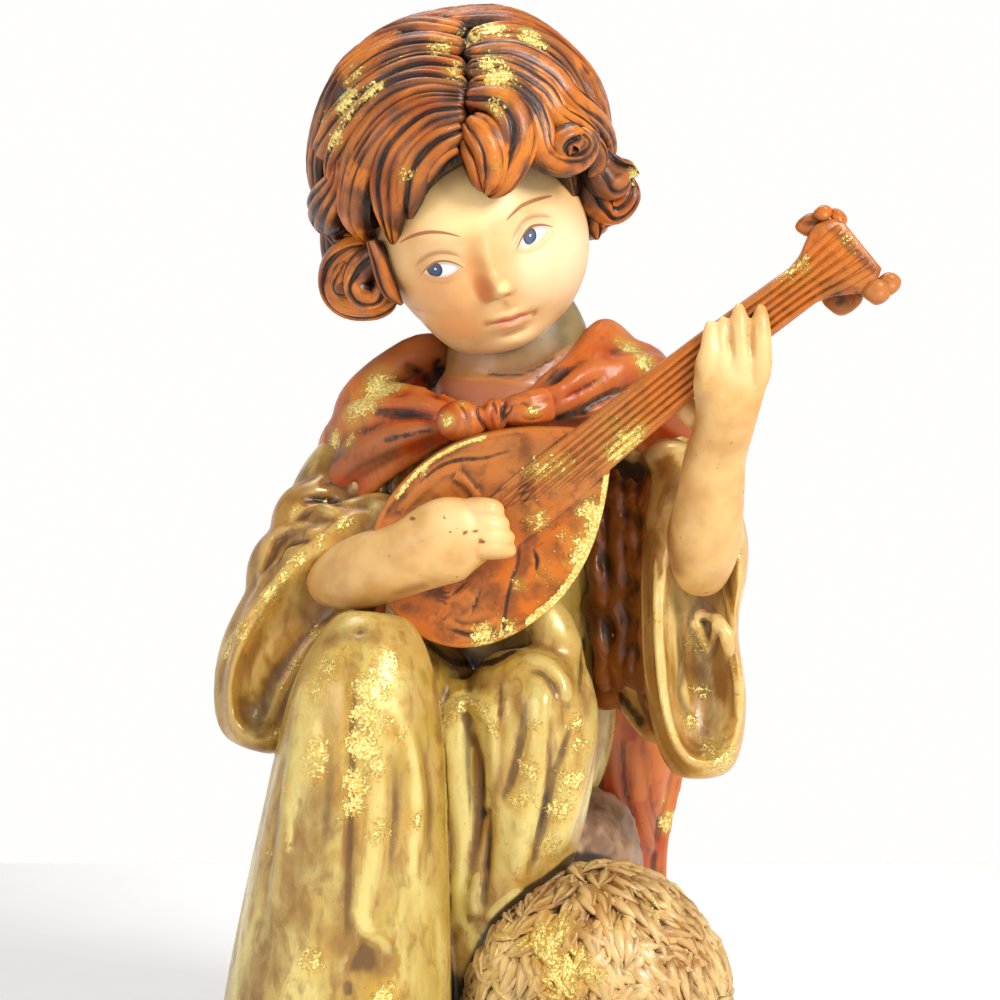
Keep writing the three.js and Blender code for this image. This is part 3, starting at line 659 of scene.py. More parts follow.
def onHair(turnRound, up, lift=0.0):
    a, b = math.radians(turnRound), math.radians(up)
    way = np.array([math.sin(a) * math.cos(b), -math.cos(a) * math.cos(b), math.sin(b)])
    return np.array(headSet["hairCentre"]) + way * (np.array(headSet["hairHalf"]) + lift)


def drawnOnHair(px, py, lift=0.0):
    # a spot of the picture laid on the mass of the hair, in the head's frame
    start = np.array(headBack @ Vector(eyePoint))
    way = np.array(headBack.to_3x3() @ Vector(rayThrough(px, py)))
    half = np.array(headSet["hairHalf"]) + lift
    o, d = (start - headSet["hairCentre"]) / half, way / half
    a, b, c = d @ d, o @ d, o @ o - 1
    inside = b * b - a * c
    p = o + (-b - math.sqrt(max(inside, 0.0))) / a * d
    return np.array(headSet["hairCentre"]) + p / max(np.linalg.norm(p), 1.0) * half


def drawnAtDepth(px, py, y):
    # a spot of the picture at a chosen depth, in the head's frame
    way = rayThrough(px, py)
    return np.array(headBack @ Vector(eyePoint + way * ((y - eyePoint[1]) / way[1])))


def lock(path, across, thick, seed, tip=0.35, fine=1.0, facing=0.0):
    # one carved lock lying on the head, cut into strands of uneven width; with its shade and its own map
    rng = np.random.default_rng(40 + seed)
    n, m = int(hairSet["steps"] * fine), int(hairSet["sides"] * fine)
    t = 0.5 - 0.5 * np.cos(np.pi * (np.arange(n + 1) + 0.2) / (n + 0.4))
    centre = curveAt(path, t)
    run = unit(curveAt(path, np.minimum(t + 1e-3, 1)) - curveAt(path, np.maximum(t - 1e-3, 0)))
    out = unit(unit((centre - headSet["hairCentre"]) / np.array(headSet["hairHalf"]) ** 2) - [0, facing, 0])
    wide = unit(np.cross(run, out))
    deep = np.cross(wide, run)
    outer = int(m * 0.8)  # more points on the outer side, where the strands show
    a = np.concatenate([np.linspace(0, np.pi, outer, endpoint=False),
                        np.linspace(np.pi, 2 * np.pi, m - outer, endpoint=False)])
    swell = np.minimum(1, t / 0.03) ** 0.4 * np.minimum(1, (1 - t) / 0.2) ** tip
    w, h = curveAt(across, t) * swell, curveAt(thick, t) * swell
    strands = max(2, round(2 * max(across) / hairSet["strandWidth"]))
    cuts = np.concatenate([[0], np.cumsum(rng.uniform(0.4, 1.6, strands))])
    cuts /= cuts[-1]
    deepness = rng.uniform(0.45, 1.25, strands + 1)
    s = (np.cos(a)[None, :] + 1) / 2
    s = s + 0.035 * np.sin(2 * np.pi * t * rng.uniform(0.8, 1.6) + rng.uniform(0, 6))[:, None]
    place = np.interp(s, cuts, np.arange(strands + 1))
    furrow = 1 - np.abs(np.sin(np.pi * place))
    share = deepness[np.clip(np.round(place).astype(int), 0, strands)]
    upper = np.clip(np.sin(a), 0, 1)[None, :]
    cutDepth = hairSet["groove"] * share * furrow ** 1.8 * upper ** 0.4 * np.minimum(1, h / 2.5)[:, None]
    x = w[:, None] * np.cos(a)
    y = h[:, None] * np.sin(a) - cutDepth
    rings = centre[:, None] + x[..., None] * wide[:, None] + y[..., None] * deep[:, None]
    # the shade: dark in the cuts, under the lock and at its root, in patches that differ from lock to lock
    length = np.linalg.norm(np.diff(path, axis=0), axis=1).sum()
    under = 0.6 if facing else 1.2  # the curls at the edge are seen from behind too
    shade = 1.8 * np.maximum(1.3 * share * furrow ** 1.5, under * (1 - upper) ** 1.6) - 0.75
    along = t * length
    patches = np.sin(along / rng.uniform(5, 9) + rng.uniform(0, 6)) + np.sin(along / 3.1 + rng.uniform(0, 6))
    shade = shade + rng.uniform(-0.25, 0.35) + 0.22 * patches[:, None]
    shade = np.maximum(shade, 1.0 - (t / 0.02)[:, None])
    aside = w[:, None] * (np.cos(a) + 1.2) + 30 * (seed % 9)
    chart = np.stack([aside, along[:, None] + 0 * a + 17 * seed], -1)
    verts, faces = closeRings(rings)
    shade = np.concatenate([shade.ravel(), [1.2, 0.4]])
    chart = np.concatenate([chart.reshape(-1, 2), chart[[0, -1]].mean(1)])
    return verts, faces, shade, chart


def makeHair():
    half = [h - hairSet["capInset"] for h in headSet["hairHalf"]]
    capThing = meshOf("cap", *egg(headSet["hairCentre"], half, pole=1, sides=90, steps=100))
    for key in ("window", "nape"):
        cutter = meshOf(key, *egg(*hairSet[key]))
        cut = capThing.modifiers.new("cut", "BOOLEAN")
        cut.operation, cut.solver, cut.object = "DIFFERENCE", "MANIFOLD", cutter
        applied(capThing)
        bpy.data.objects.remove(cutter)
    verts, faces = arraysOf(capThing)
    bpy.data.objects.remove(capThing)
    # the cap under the locks is painted dark all over: painted shade where it shows between them
    shells = [(verts, faces, np.full(len(verts), 1.3), verts[:, :2])]
    for k, (path, across, thick, lifts) in enumerate(hairLocks):
        lift = curveAt(lifts, np.linspace(0, 1, len(path)))
        spots = [drawnOnHair(px, py, up) for (px, py), up in zip(path, lift)]
        shells.append(lock(np.array(spots), across, thick, seed=k))
    for k, (path, across, thick, depth) in enumerate(edgeLocks):
        deep = curveAt(depth, np.linspace(0, 1, len(path)))
        spots = [drawnAtDepth(px, py, y) for (px, py), y in zip(path, deep)]
        shells.append(lock(np.array(spots), across, thick, seed=80 + k, facing=1.3))
    for k, (path, across, thick, extra) in enumerate(hiddenLocks()):
        shells.append(lock(np.array(path), across, thick, seed=50 + k, fine=0.8, **extra))
    verts, faces = joined([shell[:2] for shell in shells])
    skin = Skin(moved(verts, headPlace), faces)
    skin.shade = np.concatenate([shell[2] for shell in shells])
    skin.uv = np.concatenate([shell[3] for shell in shells]) / mapSide
    pieces["hair"] = skin
    print("hair", len(shells), "shells")


# each lock: its line on the picture, then half widths, thicknesses and lifts along it
hairLocks = [
    ([(458, 146), (441, 156), (428, 170), (420, 187), (416, 206)],
     (2, 2.6, 2.8, 2.4, 1.4), (2.4, 3.2, 3.4, 3, 2), (0, 0.6, 0.8, 0.6, 0)),
    ([(464, 128), (436, 143), (415, 168), (408, 194), (409, 219)],
     (3, 5, 5.6, 4.6, 2.6), (2.6, 3.8, 4, 3.6, 2.4), (0, 1.2, 1.6, 1.4, 0.6)),
    ([(466, 112), (431, 120), (402, 148), (390, 179), (390, 209), (394, 245)],
     (3, 5, 6.2, 5.8, 5, 2.8), (2.6, 3.8, 4, 4, 3.6, 2.4), (0, 0.8, 1.4, 1.8, 1.8, 1)),
    ([(468, 99), (428, 100), (395, 116), (369, 148), (357, 184), (357, 219), (372, 246)],
     (3, 5, 6, 6.6, 6, 5.4, 3), (2.4, 3.6, 4, 4.2, 4.2, 4, 2.6), (0, 0.4, 0.8, 1.4, 1.8, 2, 1.2)),
    ([(469, 88), (423, 85), (387, 98), (357, 128), (341, 158), (339, 179), (342, 194)],
     (3, 4.8, 5.2, 5.4, 4.8, 4, 2.6), (2.4, 3.6, 4, 4, 4, 3.6, 2.4), (0, 0.2, 0.6, 1, 1.4, 1.6, 1.2)),
    ([(345, 153), (344, 179), (331, 202), (318, 219), (321, 237), (337, 244), (353, 236)],
     (2.6, 4.4, 6.4, 7.2, 5.8, 4.4, 2), (2.6, 4, 5.4, 6, 5, 4, 2), (1, 2, 2.8, 3, 2.6, 2.6, 2)),
    ([(309, 227), (313, 250), (330, 261), (353, 258), (371, 244)],
     (2, 2.8, 3, 3, 2), (2, 3, 3.4, 3.2, 2), (0.6, 1.6, 2.2, 2.2, 1.6)),
    ([(467, 69), (423, 68), (382, 84), (351, 110), (331, 138), (322, 163), (311, 176)],
     (3, 4.8, 5.2, 5.2, 4.8, 4, 2.6), (2.2, 3.4, 3.8, 3.8, 3.8, 3.8, 2.6), (0, 0, 0.3, 0.6, 0.8, 1.2, 1.2)),
    ([(321, 151), (309, 161), (305, 173), (313, 185)],
     (2.4, 3.4, 3.4, 2), (2.4, 3.4, 3.4, 2), (0.6, 1, 1, 0.8)),
    ([(466, 48), (423, 46), (382, 58), (349, 84), (328, 112), (318, 143), (313, 158)],
     (3, 4.8, 5.2, 5.2, 4.8, 4, 2.4), (2.2, 3.2, 3.6, 3.6, 3.6, 3.4, 2.4), (0, 0, 0, 0.2, 0.4, 0.6, 0.6)),
    ([(466, 31), (418, 28), (377, 40), (346, 64), (328, 89), (320, 117)],
     (3, 4.8, 5.2, 5.2, 4.6, 3), (2, 3, 3.4, 3.4, 3.4, 2.4), (-0.4, -0.2, 0, 0, 0.2, 0.2)),
    ([(466, 18), (428, 14), (392, 23), (362, 42), (341, 64)],
     (3, 4.8, 5.2, 4.8, 3.4), (2, 2.8, 3.2, 3.2, 2.4), (-0.6, -0.4, -0.2, -0.2, 0)),
    ([(316, 184), (305, 195), (302, 209), (311, 221)],
     (2.4, 3.4, 3.6, 2), (2.4, 3.4, 3.6, 2), (0.4, 0.8, 0.8, 0.6)),
    ([(464, 98), (494, 102), (510, 117), (516, 142), (509, 166), (498, 185), (488, 197)],
     (3, 5.2, 6.2, 6, 5, 3.6, 2.2), (2.8, 4.6, 5.2, 5.2, 5, 4.2, 2.6), (0, 1.4, 2.4, 3, 3, 2.4, 1.4)),
    ([(470, 120), (481, 133), (490, 153), (492, 175), (486, 194)],
     (3, 5.2, 5.2, 4.2, 2.4), (2.8, 4.8, 5.2, 4.8, 3), (0.4, 2, 3, 3, 1.8)),
    ([(466, 140), (473, 158), (479, 176), (483, 191)],
     (2, 3, 2.8, 1.8), (2.4, 3.6, 3.8, 2.6), (0.4, 1.6, 2, 1.4)),
    ([(466, 88), (504, 90), (527, 108), (536, 130), (540, 149), (553, 159), (570, 159), (581, 148),
      (578, 135), (564, 127)],
     (3, 4.6, 5, 5, 4.4, 4.4, 4.7, 4.8, 4.4, 2.4), (2.6, 4, 4.6, 4.8, 4.8, 4.8, 4.8, 4.6, 3.8, 2),
     (0, 0.8, 1.6, 2.4, 3, 3.4, 3.6, 3.6, 3.2, 2.4)),
    ([(465, 71), (504, 73), (538, 92), (554, 115), (573, 128), (587, 143), (587, 163)],
     (3, 4.8, 5.2, 4.8, 4.4, 4, 2.4), (2.4, 3.6, 4, 4.2, 4.2, 4, 2.4), (0, 0.2, 0.8, 1.4, 1.8, 2, 1.4)),
    ([(464, 55), (510, 54), (548, 74), (568, 99), (589, 117), (600, 135), (603, 156), (596, 173)],
     (3, 4.8, 5.2, 5, 4.4, 4, 4, 2.4), (2.2, 3.4, 3.8, 4, 4, 4, 4, 2.4), (0, 0, 0.4, 0.8, 1.2, 1.4, 1.4, 1)),
    ([(469, 38), (510, 35), (550, 51), (576, 77), (594, 99), (610, 115), (618, 138), (613, 158)],
     (3, 4.8, 5.2, 5, 4.6, 4.2, 4, 2.4), (2, 3.2, 3.6, 3.8, 3.8, 3.8, 3.6, 2.2),
     (-0.2, 0, 0, 0.2, 0.6, 0.8, 0.8, 0.6)),
    ([(468, 23), (504, 18), (543, 29), (571, 51), (589, 77), (604, 94), (618, 115), (621, 128)],
     (3, 4.6, 5, 4.8, 4.6, 4.2, 3.6, 2), (2, 3, 3.4, 3.4, 3.4, 3.4, 3, 2),
     (-0.4, -0.2, 0, 0, 0.2, 0.4, 0.4, 0.4)),
    ([(467, 13), (497, 11), (533, 17), (561, 37), (581, 60)],
     (3, 4.6, 5, 4.6, 3), (2, 2.8, 3.2, 3.2, 2.4), (-0.6, -0.4, -0.2, -0.2, 0)),
    ([(596, 120), (610, 138), (612, 153), (605, 167)],
     (2.4, 3.2, 3.2, 2), (2.4, 3.4, 3.4, 2), (0.6, 1.2, 1.4, 1)),
    ([(580, 133), (592, 148), (594, 163), (589, 177)],
     (2.4, 3.2, 3.2, 2), (2.4, 3.6, 3.6, 2), (1, 1.8, 2, 1.4)),
]


# the curls at the edge: the line on the picture, half widths, thicknesses and depths in millimetres
edgeLocks = [
    ([(374, 246), (355, 250), (341, 260), (335, 276), (338, 292), (350, 302), (368, 305), (386, 304),
      (397, 300)],
     (3, 4, 4.4, 4.6, 4.6, 4.6, 4.2, 3.4, 1.8), (3, 4, 4.4, 4.6, 4.6, 4.6, 4.2, 3.4, 1.8),
     (-12, -12, -8, -5, -5, -7, -11, -16, -18)),
    ([(388, 250), (373, 257), (362, 270), (358, 285), (365, 296), (377, 296), (382, 286), (378, 276)],
     (3, 4, 4.2, 4, 3.8, 3.4, 2.8, 1.8), (3, 4, 4.2, 4.2, 3.8, 3.4, 2.8, 1.8),
     (-19, -18, -16, -16, -17, -18, -19, -18)),
    ([(371, 238), (377, 255), (382, 272), (390, 290), (402, 305)],
     (1.4, 2.1, 2.5, 2.4, 1.2), (1.6, 2.2, 2.4, 2.3, 1.2), (-22, -21.5, -21, -20.5, -19)),
    ([(350, 262), (344, 274), (343, 286), (350, 294)], (2.2, 3, 3, 2), (2.2, 3, 3, 2), (-13, -12, -12, -14)),
    ([(588, 166), (591, 184), (598, 199), (609, 207), (620, 203), (628, 190), (630, 175)],
     (3.2, 4.6, 5, 5, 4.6, 3.8, 2), (3, 4.2, 5, 5, 4.6, 3.8, 2), (-6, -5, -4, -3, -3, -3, -3)),
    ([(590, 156), (596, 172), (606, 183), (617, 181), (624, 169)],
     (3.2, 4.4, 4.6, 4, 2.2), (3, 4.4, 4.8, 4.2, 2.2), (-10, -10, -9, -8, -6)),
    ([(597, 152), (605, 165), (615, 171), (627, 171), (639, 174)],
     (3, 4, 4, 3, 1.4), (3, 4, 4, 3, 1.4), (-10, -9, -7, -5, -4)),
    ([(595, 196), (594, 216), (597, 240)], (4.2, 3.8, 1.3), (3.6, 3.4, 1.3), (0, 0, 0)),
    ([(604, 202), (607, 214), (602, 228)], (3.8, 3.4, 1.5), (3.6, 3.4, 1.4), (0, -1, -1)),
    ([(578, 136), (569, 139), (563, 148), (568, 157)],
     (3.4, 4.2, 4.2, 2.4), (3.4, 4.4, 4.4, 2.4), (-31, -32, -33, -33)),
]


def hiddenLocks():
    # the locks that the picture doesn't show: line, half widths, thicknesses and what differs
    out = []
    # the combed back of the head, down to the nape
    for way in (-1, 1):
        for k in range(5):
            yaw = way * (97 + 20.5 * k)
            top = onHair(way * 150 if k > 2 else way * 70, 82, 0)
            fall = [top, onHair(yaw * 0.97, 50, 0.6), onHair(yaw, 14, 1.4), onHair(yaw + way * 4, -14, 2.4),
                    onHair(yaw + way * 5, -32, 1.4)]
            out.append((fall, (3, 8.5, 9.5, 8, 4), (2.4, 4, 4.6, 4, 2.4), {}))
    # two more fill the side of the head between the front and the back
    for yaw, top, low, wide in ((76, 62, -18, 7.2), (84, 30, -36, 6.4)):
        fall = [onHair(yaw - 6, top, -1.6), onHair(yaw - 2, top * 0.6 + low * 0.4, -0.8),
                onHair(yaw, low * 0.6, -0.8), onHair(yaw + 3, low, -1.4)]
        out.append((fall, (4, wide, wide, 4), (3, 4, 4, 3), {}))

    def at(turnRound, z, further):
        b = math.radians(turnRound)
        drop = 10 * max(0, -math.cos(b))
        reach = (33.5 + further, 31 + further - 4 * max(0, -math.cos(b)))
        return np.array([headSet["curlMiddle"] + reach[0] * math.sin(b),
                         headSet["hairCentre"][1] - reach[1] * math.cos(b), z - drop])

    # curls that turn out all round the lower edge, from one temple round the back to the other
    for way in (-1, 1):
        for k in range(4):
            yaw = way * (122 + 19 * k)
            fall = [at(yaw - way * 6, 22, 0), at(yaw - way * 9, 4, 4), at(yaw, -8, 4),
                    at(yaw + way * 10, -3, 8)]
            out.append((fall, (5, 7.6, 7.4, 3.6), (4, 6.4, 6.8, 4), {"tip": 0.5}))
    return out


luteSet = {
    "foot": (-20.8, -31.2, 143.0),
    "aim": (0.77, -0.07, 0.64),
    "length": 66.5,
    "halfWidth": 25,
    "neck": 68,
    "head": 17.6,
    "leanAside": (2.6, 92, 58),  # the neck leans to one side: how far, from where and over what length
    "pegs": [  # place beyond the nut, depth, place across, then half sizes
        (12.9, -1, -12.1, (3.3, 3.3, 3.3)), (16.4, 0, -12.4, (3, 2.6, 2.8)), (5.4, 6, -8.8, (4.8, 2.6, 4.4)),
        (10.6, 2.4, 11.4, (3.4, 2.4, 2.6)), (15, 0.5, 11.8, (2.2, 2.4, 2)), (17.4, 1.2, 8.6, (1.5, 2.2, 2.6)),
    ],
}


def lutePlace():
    aim = unit(np.array(luteSet["aim"]))
    inward = unit(np.array([0, 1, 0]) - aim * aim[1])
    across = np.cross(aim, inward)
    rows = [(aim[k], inward[k], across[k], luteSet["foot"][k]) for k in range(3)]
    return Matrix((*rows, (0, 0, 0, 1)))


def luteHalfWidth(x):
    length, most = luteSet["length"], luteSet["halfWidth"]
    widest = 0.46 * length
    low = most * (1 - np.clip(1 - x / widest, 0, 1) ** 2.3) ** (1 / 2.3)
    high = 7 + (most - 7) * (1 - np.clip((x - widest) / (length - widest), 0, 1) ** 1.95)
    return np.where(x < widest, low, high)


def makeLute():
    length, widest = luteSet["length"], 0.46 * luteSet["length"]
    t = (np.arange(120) + 0.1) / 119.2
    x = length * (0.5 - 0.5 * np.cos(np.pi * t))
    half = luteHalfWidth(x)
    outline = np.concatenate([np.stack([x, -half], 1), np.stack([x[::-1], half[::-1]], 1)])

    def ring(grow, y):
        px, pz = widest + (outline[:, 0] - widest) * grow, outline[:, 1] * grow
        return np.stack([px, y(px, pz) if callable(y) else np.full(len(px), y), pz], 1)

    def board(px, pz):
        # relief of the soundboard: a raised rim and a broad low band under the strings
        y = np.full(len(px), -0.6)
        edge = np.abs(pz) / np.maximum(luteHalfWidth(px), 1)
        y -= 0.35 * np.exp(-(((edge - 0.97) / 0.03) ** 2))
        y -= 0.8 * np.clip((7.2 - np.abs(pz)) / 0.8, 0, 1) * np.clip((px - 30) / 20, 0, 1)
        return y - 0.25 * np.sin(px * 0.35 + pz * 0.2) * np.sin(pz * 0.4)

    rings = [ring(0.02, board)] + [ring(g, board) for g in np.linspace(0.05, 0.985, 64)]
    back = ((0.998, -0.3), (1.0, 0.4), (0.995, 1.6), (1.0, 3), (0.985, 5), (0.95, 7.4), (0.9, 9), (0.8, 11.8),
            (0.68, 14), (0.52, 15.8), (0.35, 17), (0.12, 17.6))  # share of the outline and depth
    bowl = closeRings(np.array(rings + [ring(grow, y) for grow, y in back]))
    nut = length + luteSet["neck"]

    def bar(places, start, run, halves, fronts, rear):
        # a rounded bar along the strings, its half widths and fronts given from the start over a run
        a = 2 * np.pi * np.arange(40) / 40
        sections = []
        for px in places:
            half, front = curveAt(halves, (px - start) / run), curveAt(fronts, (px - start) / run)
            z = half * np.sign(np.cos(a)) * np.abs(np.cos(a)) ** 0.35
            y = (front + rear) / 2 - (rear - front) / 2 * np.sign(np.sin(a)) * np.abs(np.sin(a)) ** 0.35
            sections.append(np.stack([np.full(40, px), y, z], 1))
        return closeRings(np.array(sections))

    neck = bar(np.linspace(40, nut + 3, 40), 40, 101, (8.4, 7, 6.2, 5.8, 5.4), (-0.8, -2.2, -2.4, -2.4), 4.6)
    head = bar(np.linspace(nut, nut + luteSet["head"], 30), nut, luteSet["head"],
               (5.6, 6.6, 8.6, 10.4, 10.2, 8.4), (-2.6, -2.6, -2.6, -2.3, -0.8), 3.6)
    strings = []
    for z in (-4.5, -2.7, -0.9, 0.9, 2.7, 4.5):
        # each runs along the neck and spreads into a broad rib on the head
        course = [(46 - 2.4 * z, -1.0, z), (75, -2.5, z), (105, -2.6, z * 0.97), (nut - 2, -2.6, z * 1.0),
                  (nut + 8, -2.7, z * 1.32), (nut + 16.4, -1.9, z * 1.5)]
        strings.append(form(course, (0.62, 0.76, 0.74, 0.76, 1.0, 1.15), (0.8, 0.95, 0.95, 0.95, 0.9, 0.8),
                            (0, 0, 1), sides=14, steps=60, blunt=8))
    pegs = [egg((nut + px, py, pz), size, sides=28, steps=20, blunt=2.6,
                ripple=lambda turn, t: 0.3 * np.sin(3 * turn + 5 * t))
            for px, py, pz, size in luteSet["pegs"]]
    verts, faces = joined([bowl, neck, head, *strings, *pegs])
    first = len(bowl[0]) + len(neck[0]) + len(head[0])
    last = first + sum(len(string[0]) for string in strings)
    # painted shade on the sides of the strings, down to the board
    stringShade = np.zeros(len(verts))  # the sides of the strings are dark
    stringShade[first:last] = 1.5 * np.clip((verts[first:last, 1] + 3.2) / 0.4, 0, 1)
    far, start, run = luteSet["leanAside"]
    verts[:, 2] -= far * np.clip((verts[:, 0] - start) / run, 0, 1) ** 1.5
    skin = Skin(moved(verts, lutePlace()), faces).carve(luteStrokes)
    skin.crease += stringShade
    pieces["lute"] = skin


luteStrokes = [
    ([(418, 485), (438, 468), (459, 460), (484, 458), (512, 450)], 0.5, -0.35),
    ([(398, 512), (420, 490), (440, 473), (461, 465)], 1.2, 0.4),
    ([(454, 474), (466, 481), (474, 490), (478, 500)], 1, 0.7),
    ([(463, 476), (473, 484), (477, 496)], 0.6, -0.3),
    ([(445, 619), (454, 626), (468, 629), (484, 626), (500, 618)], 1, 0.6),
    ([(446, 624), (468, 634), (488, 630)], 0.8, -0.4),
    ([(458, 590), (466, 598), (476, 602)], 2.4, 0.9),
    ([(420, 583), (436, 592), (450, 596)], 2.6, -0.6),
    ([(525, 474), (524, 487), (526, 500), (521, 515)], 0.6, -0.4),
    ([(519, 540), (518, 562), (512, 580), (507, 601), (504, 625), (500, 642)], 0.6, -0.4),
    ([(528, 535), (548, 519), (575, 499), (602, 483)], 1.2, 0.5),
    ([(533, 548), (537, 560), (536, 571)], 0.6, -0.5),
    ([(556, 527), (566, 540), (571, 556)], 2, 0.3),
]


armSet = {"voxel": 0.55, "footVoxel": 0.6, "soften": 3}


def makeArms():
    arm = form([(-42, -16, 148), (-29, -26, 153), (-17, -34, 157.5), (-5, -38.5, 163), (6.5, -39, 164)],
               (8, 9.8, 9.6, 11, 6.4), (7, 9, 8, 6.6, 4.4), (-0.25, 0, 1), steps=90, sides=80)
    fingers = [form([(-3, -39, z + 0.6), (4, -41.2, z), (x, -38, z - 1)], (2.6, 2.9, 2), side=(0, 0, 1))
               for x, z in ((6.4, 170.6), (8.6, 167.2), (10.2, 163.8), (10.6, 160.6))]
    skin = Skin(*fused("rightArm", [arm, *fingers], armSet["voxel"])).smooth(armSet["soften"])
    pieces["rightArm"] = skin.carve(rightHandStrokes).smooth(1)

    arm = form([(59, -18, 147), (59.4, -24, 160), (60.8, -30, 173), (61.6, -34.5, 183), (63.6, -40, 191.5),
                (64.2, -42.8, 197.5), (64.6, -44, 204), (65.4, -44, 211)],
               (9, 10.4, 8.8, 8, 7.6, 8.5, 9.9, 9.2), (8, 9, 7.5, 6, 5.2, 4.8, 4, 2.2), steps=100, sides=80)
    fingers = []
    for root, x, z, half in ((58.4, 59.7, 218.6, 2.9), (62.4, 62.9, 219.8, 2.3), (67.3, 66.9, 223, 2.7),
                             (72.4, 72.3, 222.9, 2.7)):
        line = [(65 + 0.75 * (root - 65), -43, 198), (root, -44.8, 206), (x, -44.6, z - 7), (x, -42.6, z)]
        fingers.append(form(line, (2, half, half * 0.95, half * 0.78), side=(1, 0, 0), blunt=3))
    # what fills the gaps between the fingers
    fingers.append(form([(65, -42.6, 200), (66, -42.8, 210), (67.6, -42.4, 218.5)],
                        (7, 7.6, 5.6), (1.7, 1.6, 1.2)))
    thumb = form([(60, -35, 190), (54, -35, 196), (53, -32, 201)], (2.6, 3.2, 2.6))
    skin = Skin(*fused("leftArm", [arm, *fingers, thumb], armSet["voxel"])).smooth(armSet["soften"])
    pieces["leftArm"] = skin.carve(leftHandStrokes).smooth(1)

    foot = form([(-34, -46, 16), (-35, -55, 15), (-36, -63, 14)], (5, 7.5, 7.4), (6, 5, 3.4), blunt=3)
    toes = [form([(-41.5 + 3.4 * k, -60, 13.6), (-41.8 + 3.5 * k, -66.5 + 0.5 * abs(k - 2.6), 13)], 1.9, 1.8)
            for k in range(4)]
    bigToe = form([(-30.5, -60, 14), (-30.6, -67.5, 13.4)], 2.6, 2.3)
    pieces["foot"] = Skin(*fused("foot", [foot, *toes, bigToe], armSet["footVoxel"])).smooth(2)


rightHandStrokes = [
    ([(476, 509), (490, 507), (506, 510)], 0.5, -0.4),
    ([(474, 515), (492, 514), (512, 519)], 0.5, -0.4),
    ([(476, 521), (495, 521), (513, 524)], 0.5, -0.4),
]
leftHandStrokes = [
    ([(717, 324), (717, 334), (716, 348)], 0.5, -0.5),
    ([(728, 324), (730, 342), (732, 361)], 0.8, -1.3),
    ([(749, 322), (751, 342), (752, 360)], 0.8, -1.3),
]


lambSet = {"centre": (32, -24, 39), "half": (35, 30, 36.5), "woolDepth": 1.4, "voxel": 1.6, "faceVoxel": 0.7}


def makeLamb():
    x, y, _ = lambSet["centre"]
    body = egg(lambSet["centre"], [h - lambSet["woolDepth"] for h in lambSet["half"]], sides=120, steps=90)
    muzzle = form([(x - 14, y - 18, 34), (x - 18, y - 30, 28), (x - 20, y - 39, 19)],
                  (12, 9, 5.4), (12, 9.4, 5.6))
    ears = [form([(x - 15 + 8 * s, y - 24, 34), (x - 15 + 15 * s, y - 27, 31), (x - 14 + 19 * s, y - 29, 25)],
                 (2.5, 4, 2.4), (2, 2.4, 1.8), (0, 0, 1)) for s in (-1, 1)]
    hooves = [form([(x - 8 + 12 * s, y - 20, 16), (x - 12 + 10 * s, y - 32, 14),
                    (x - 18 + 9 * s, y - 39, 13)], (5, 4.6, 3.6)) for s in (-1, 1)]
    pieces["lambBody"] = Skin(*fused("lambBody", [body], lambSet["voxel"])).smooth(2)
    pieces["lambFace"] = Skin(*fused("lambFace", [muzzle, *ears, *hooves], lambSet["faceVoxel"])).smooth(3)


def paint(r, g, b):
    # a colour given as it looks, 0 to 255, as the shader wants it
    parts = [((c / 255 + 0.055) / 1.055) ** 2.4 if c > 10 else c / 255 / 12.92 for c in (r, g, b)]
    return (*parts, 1.0)


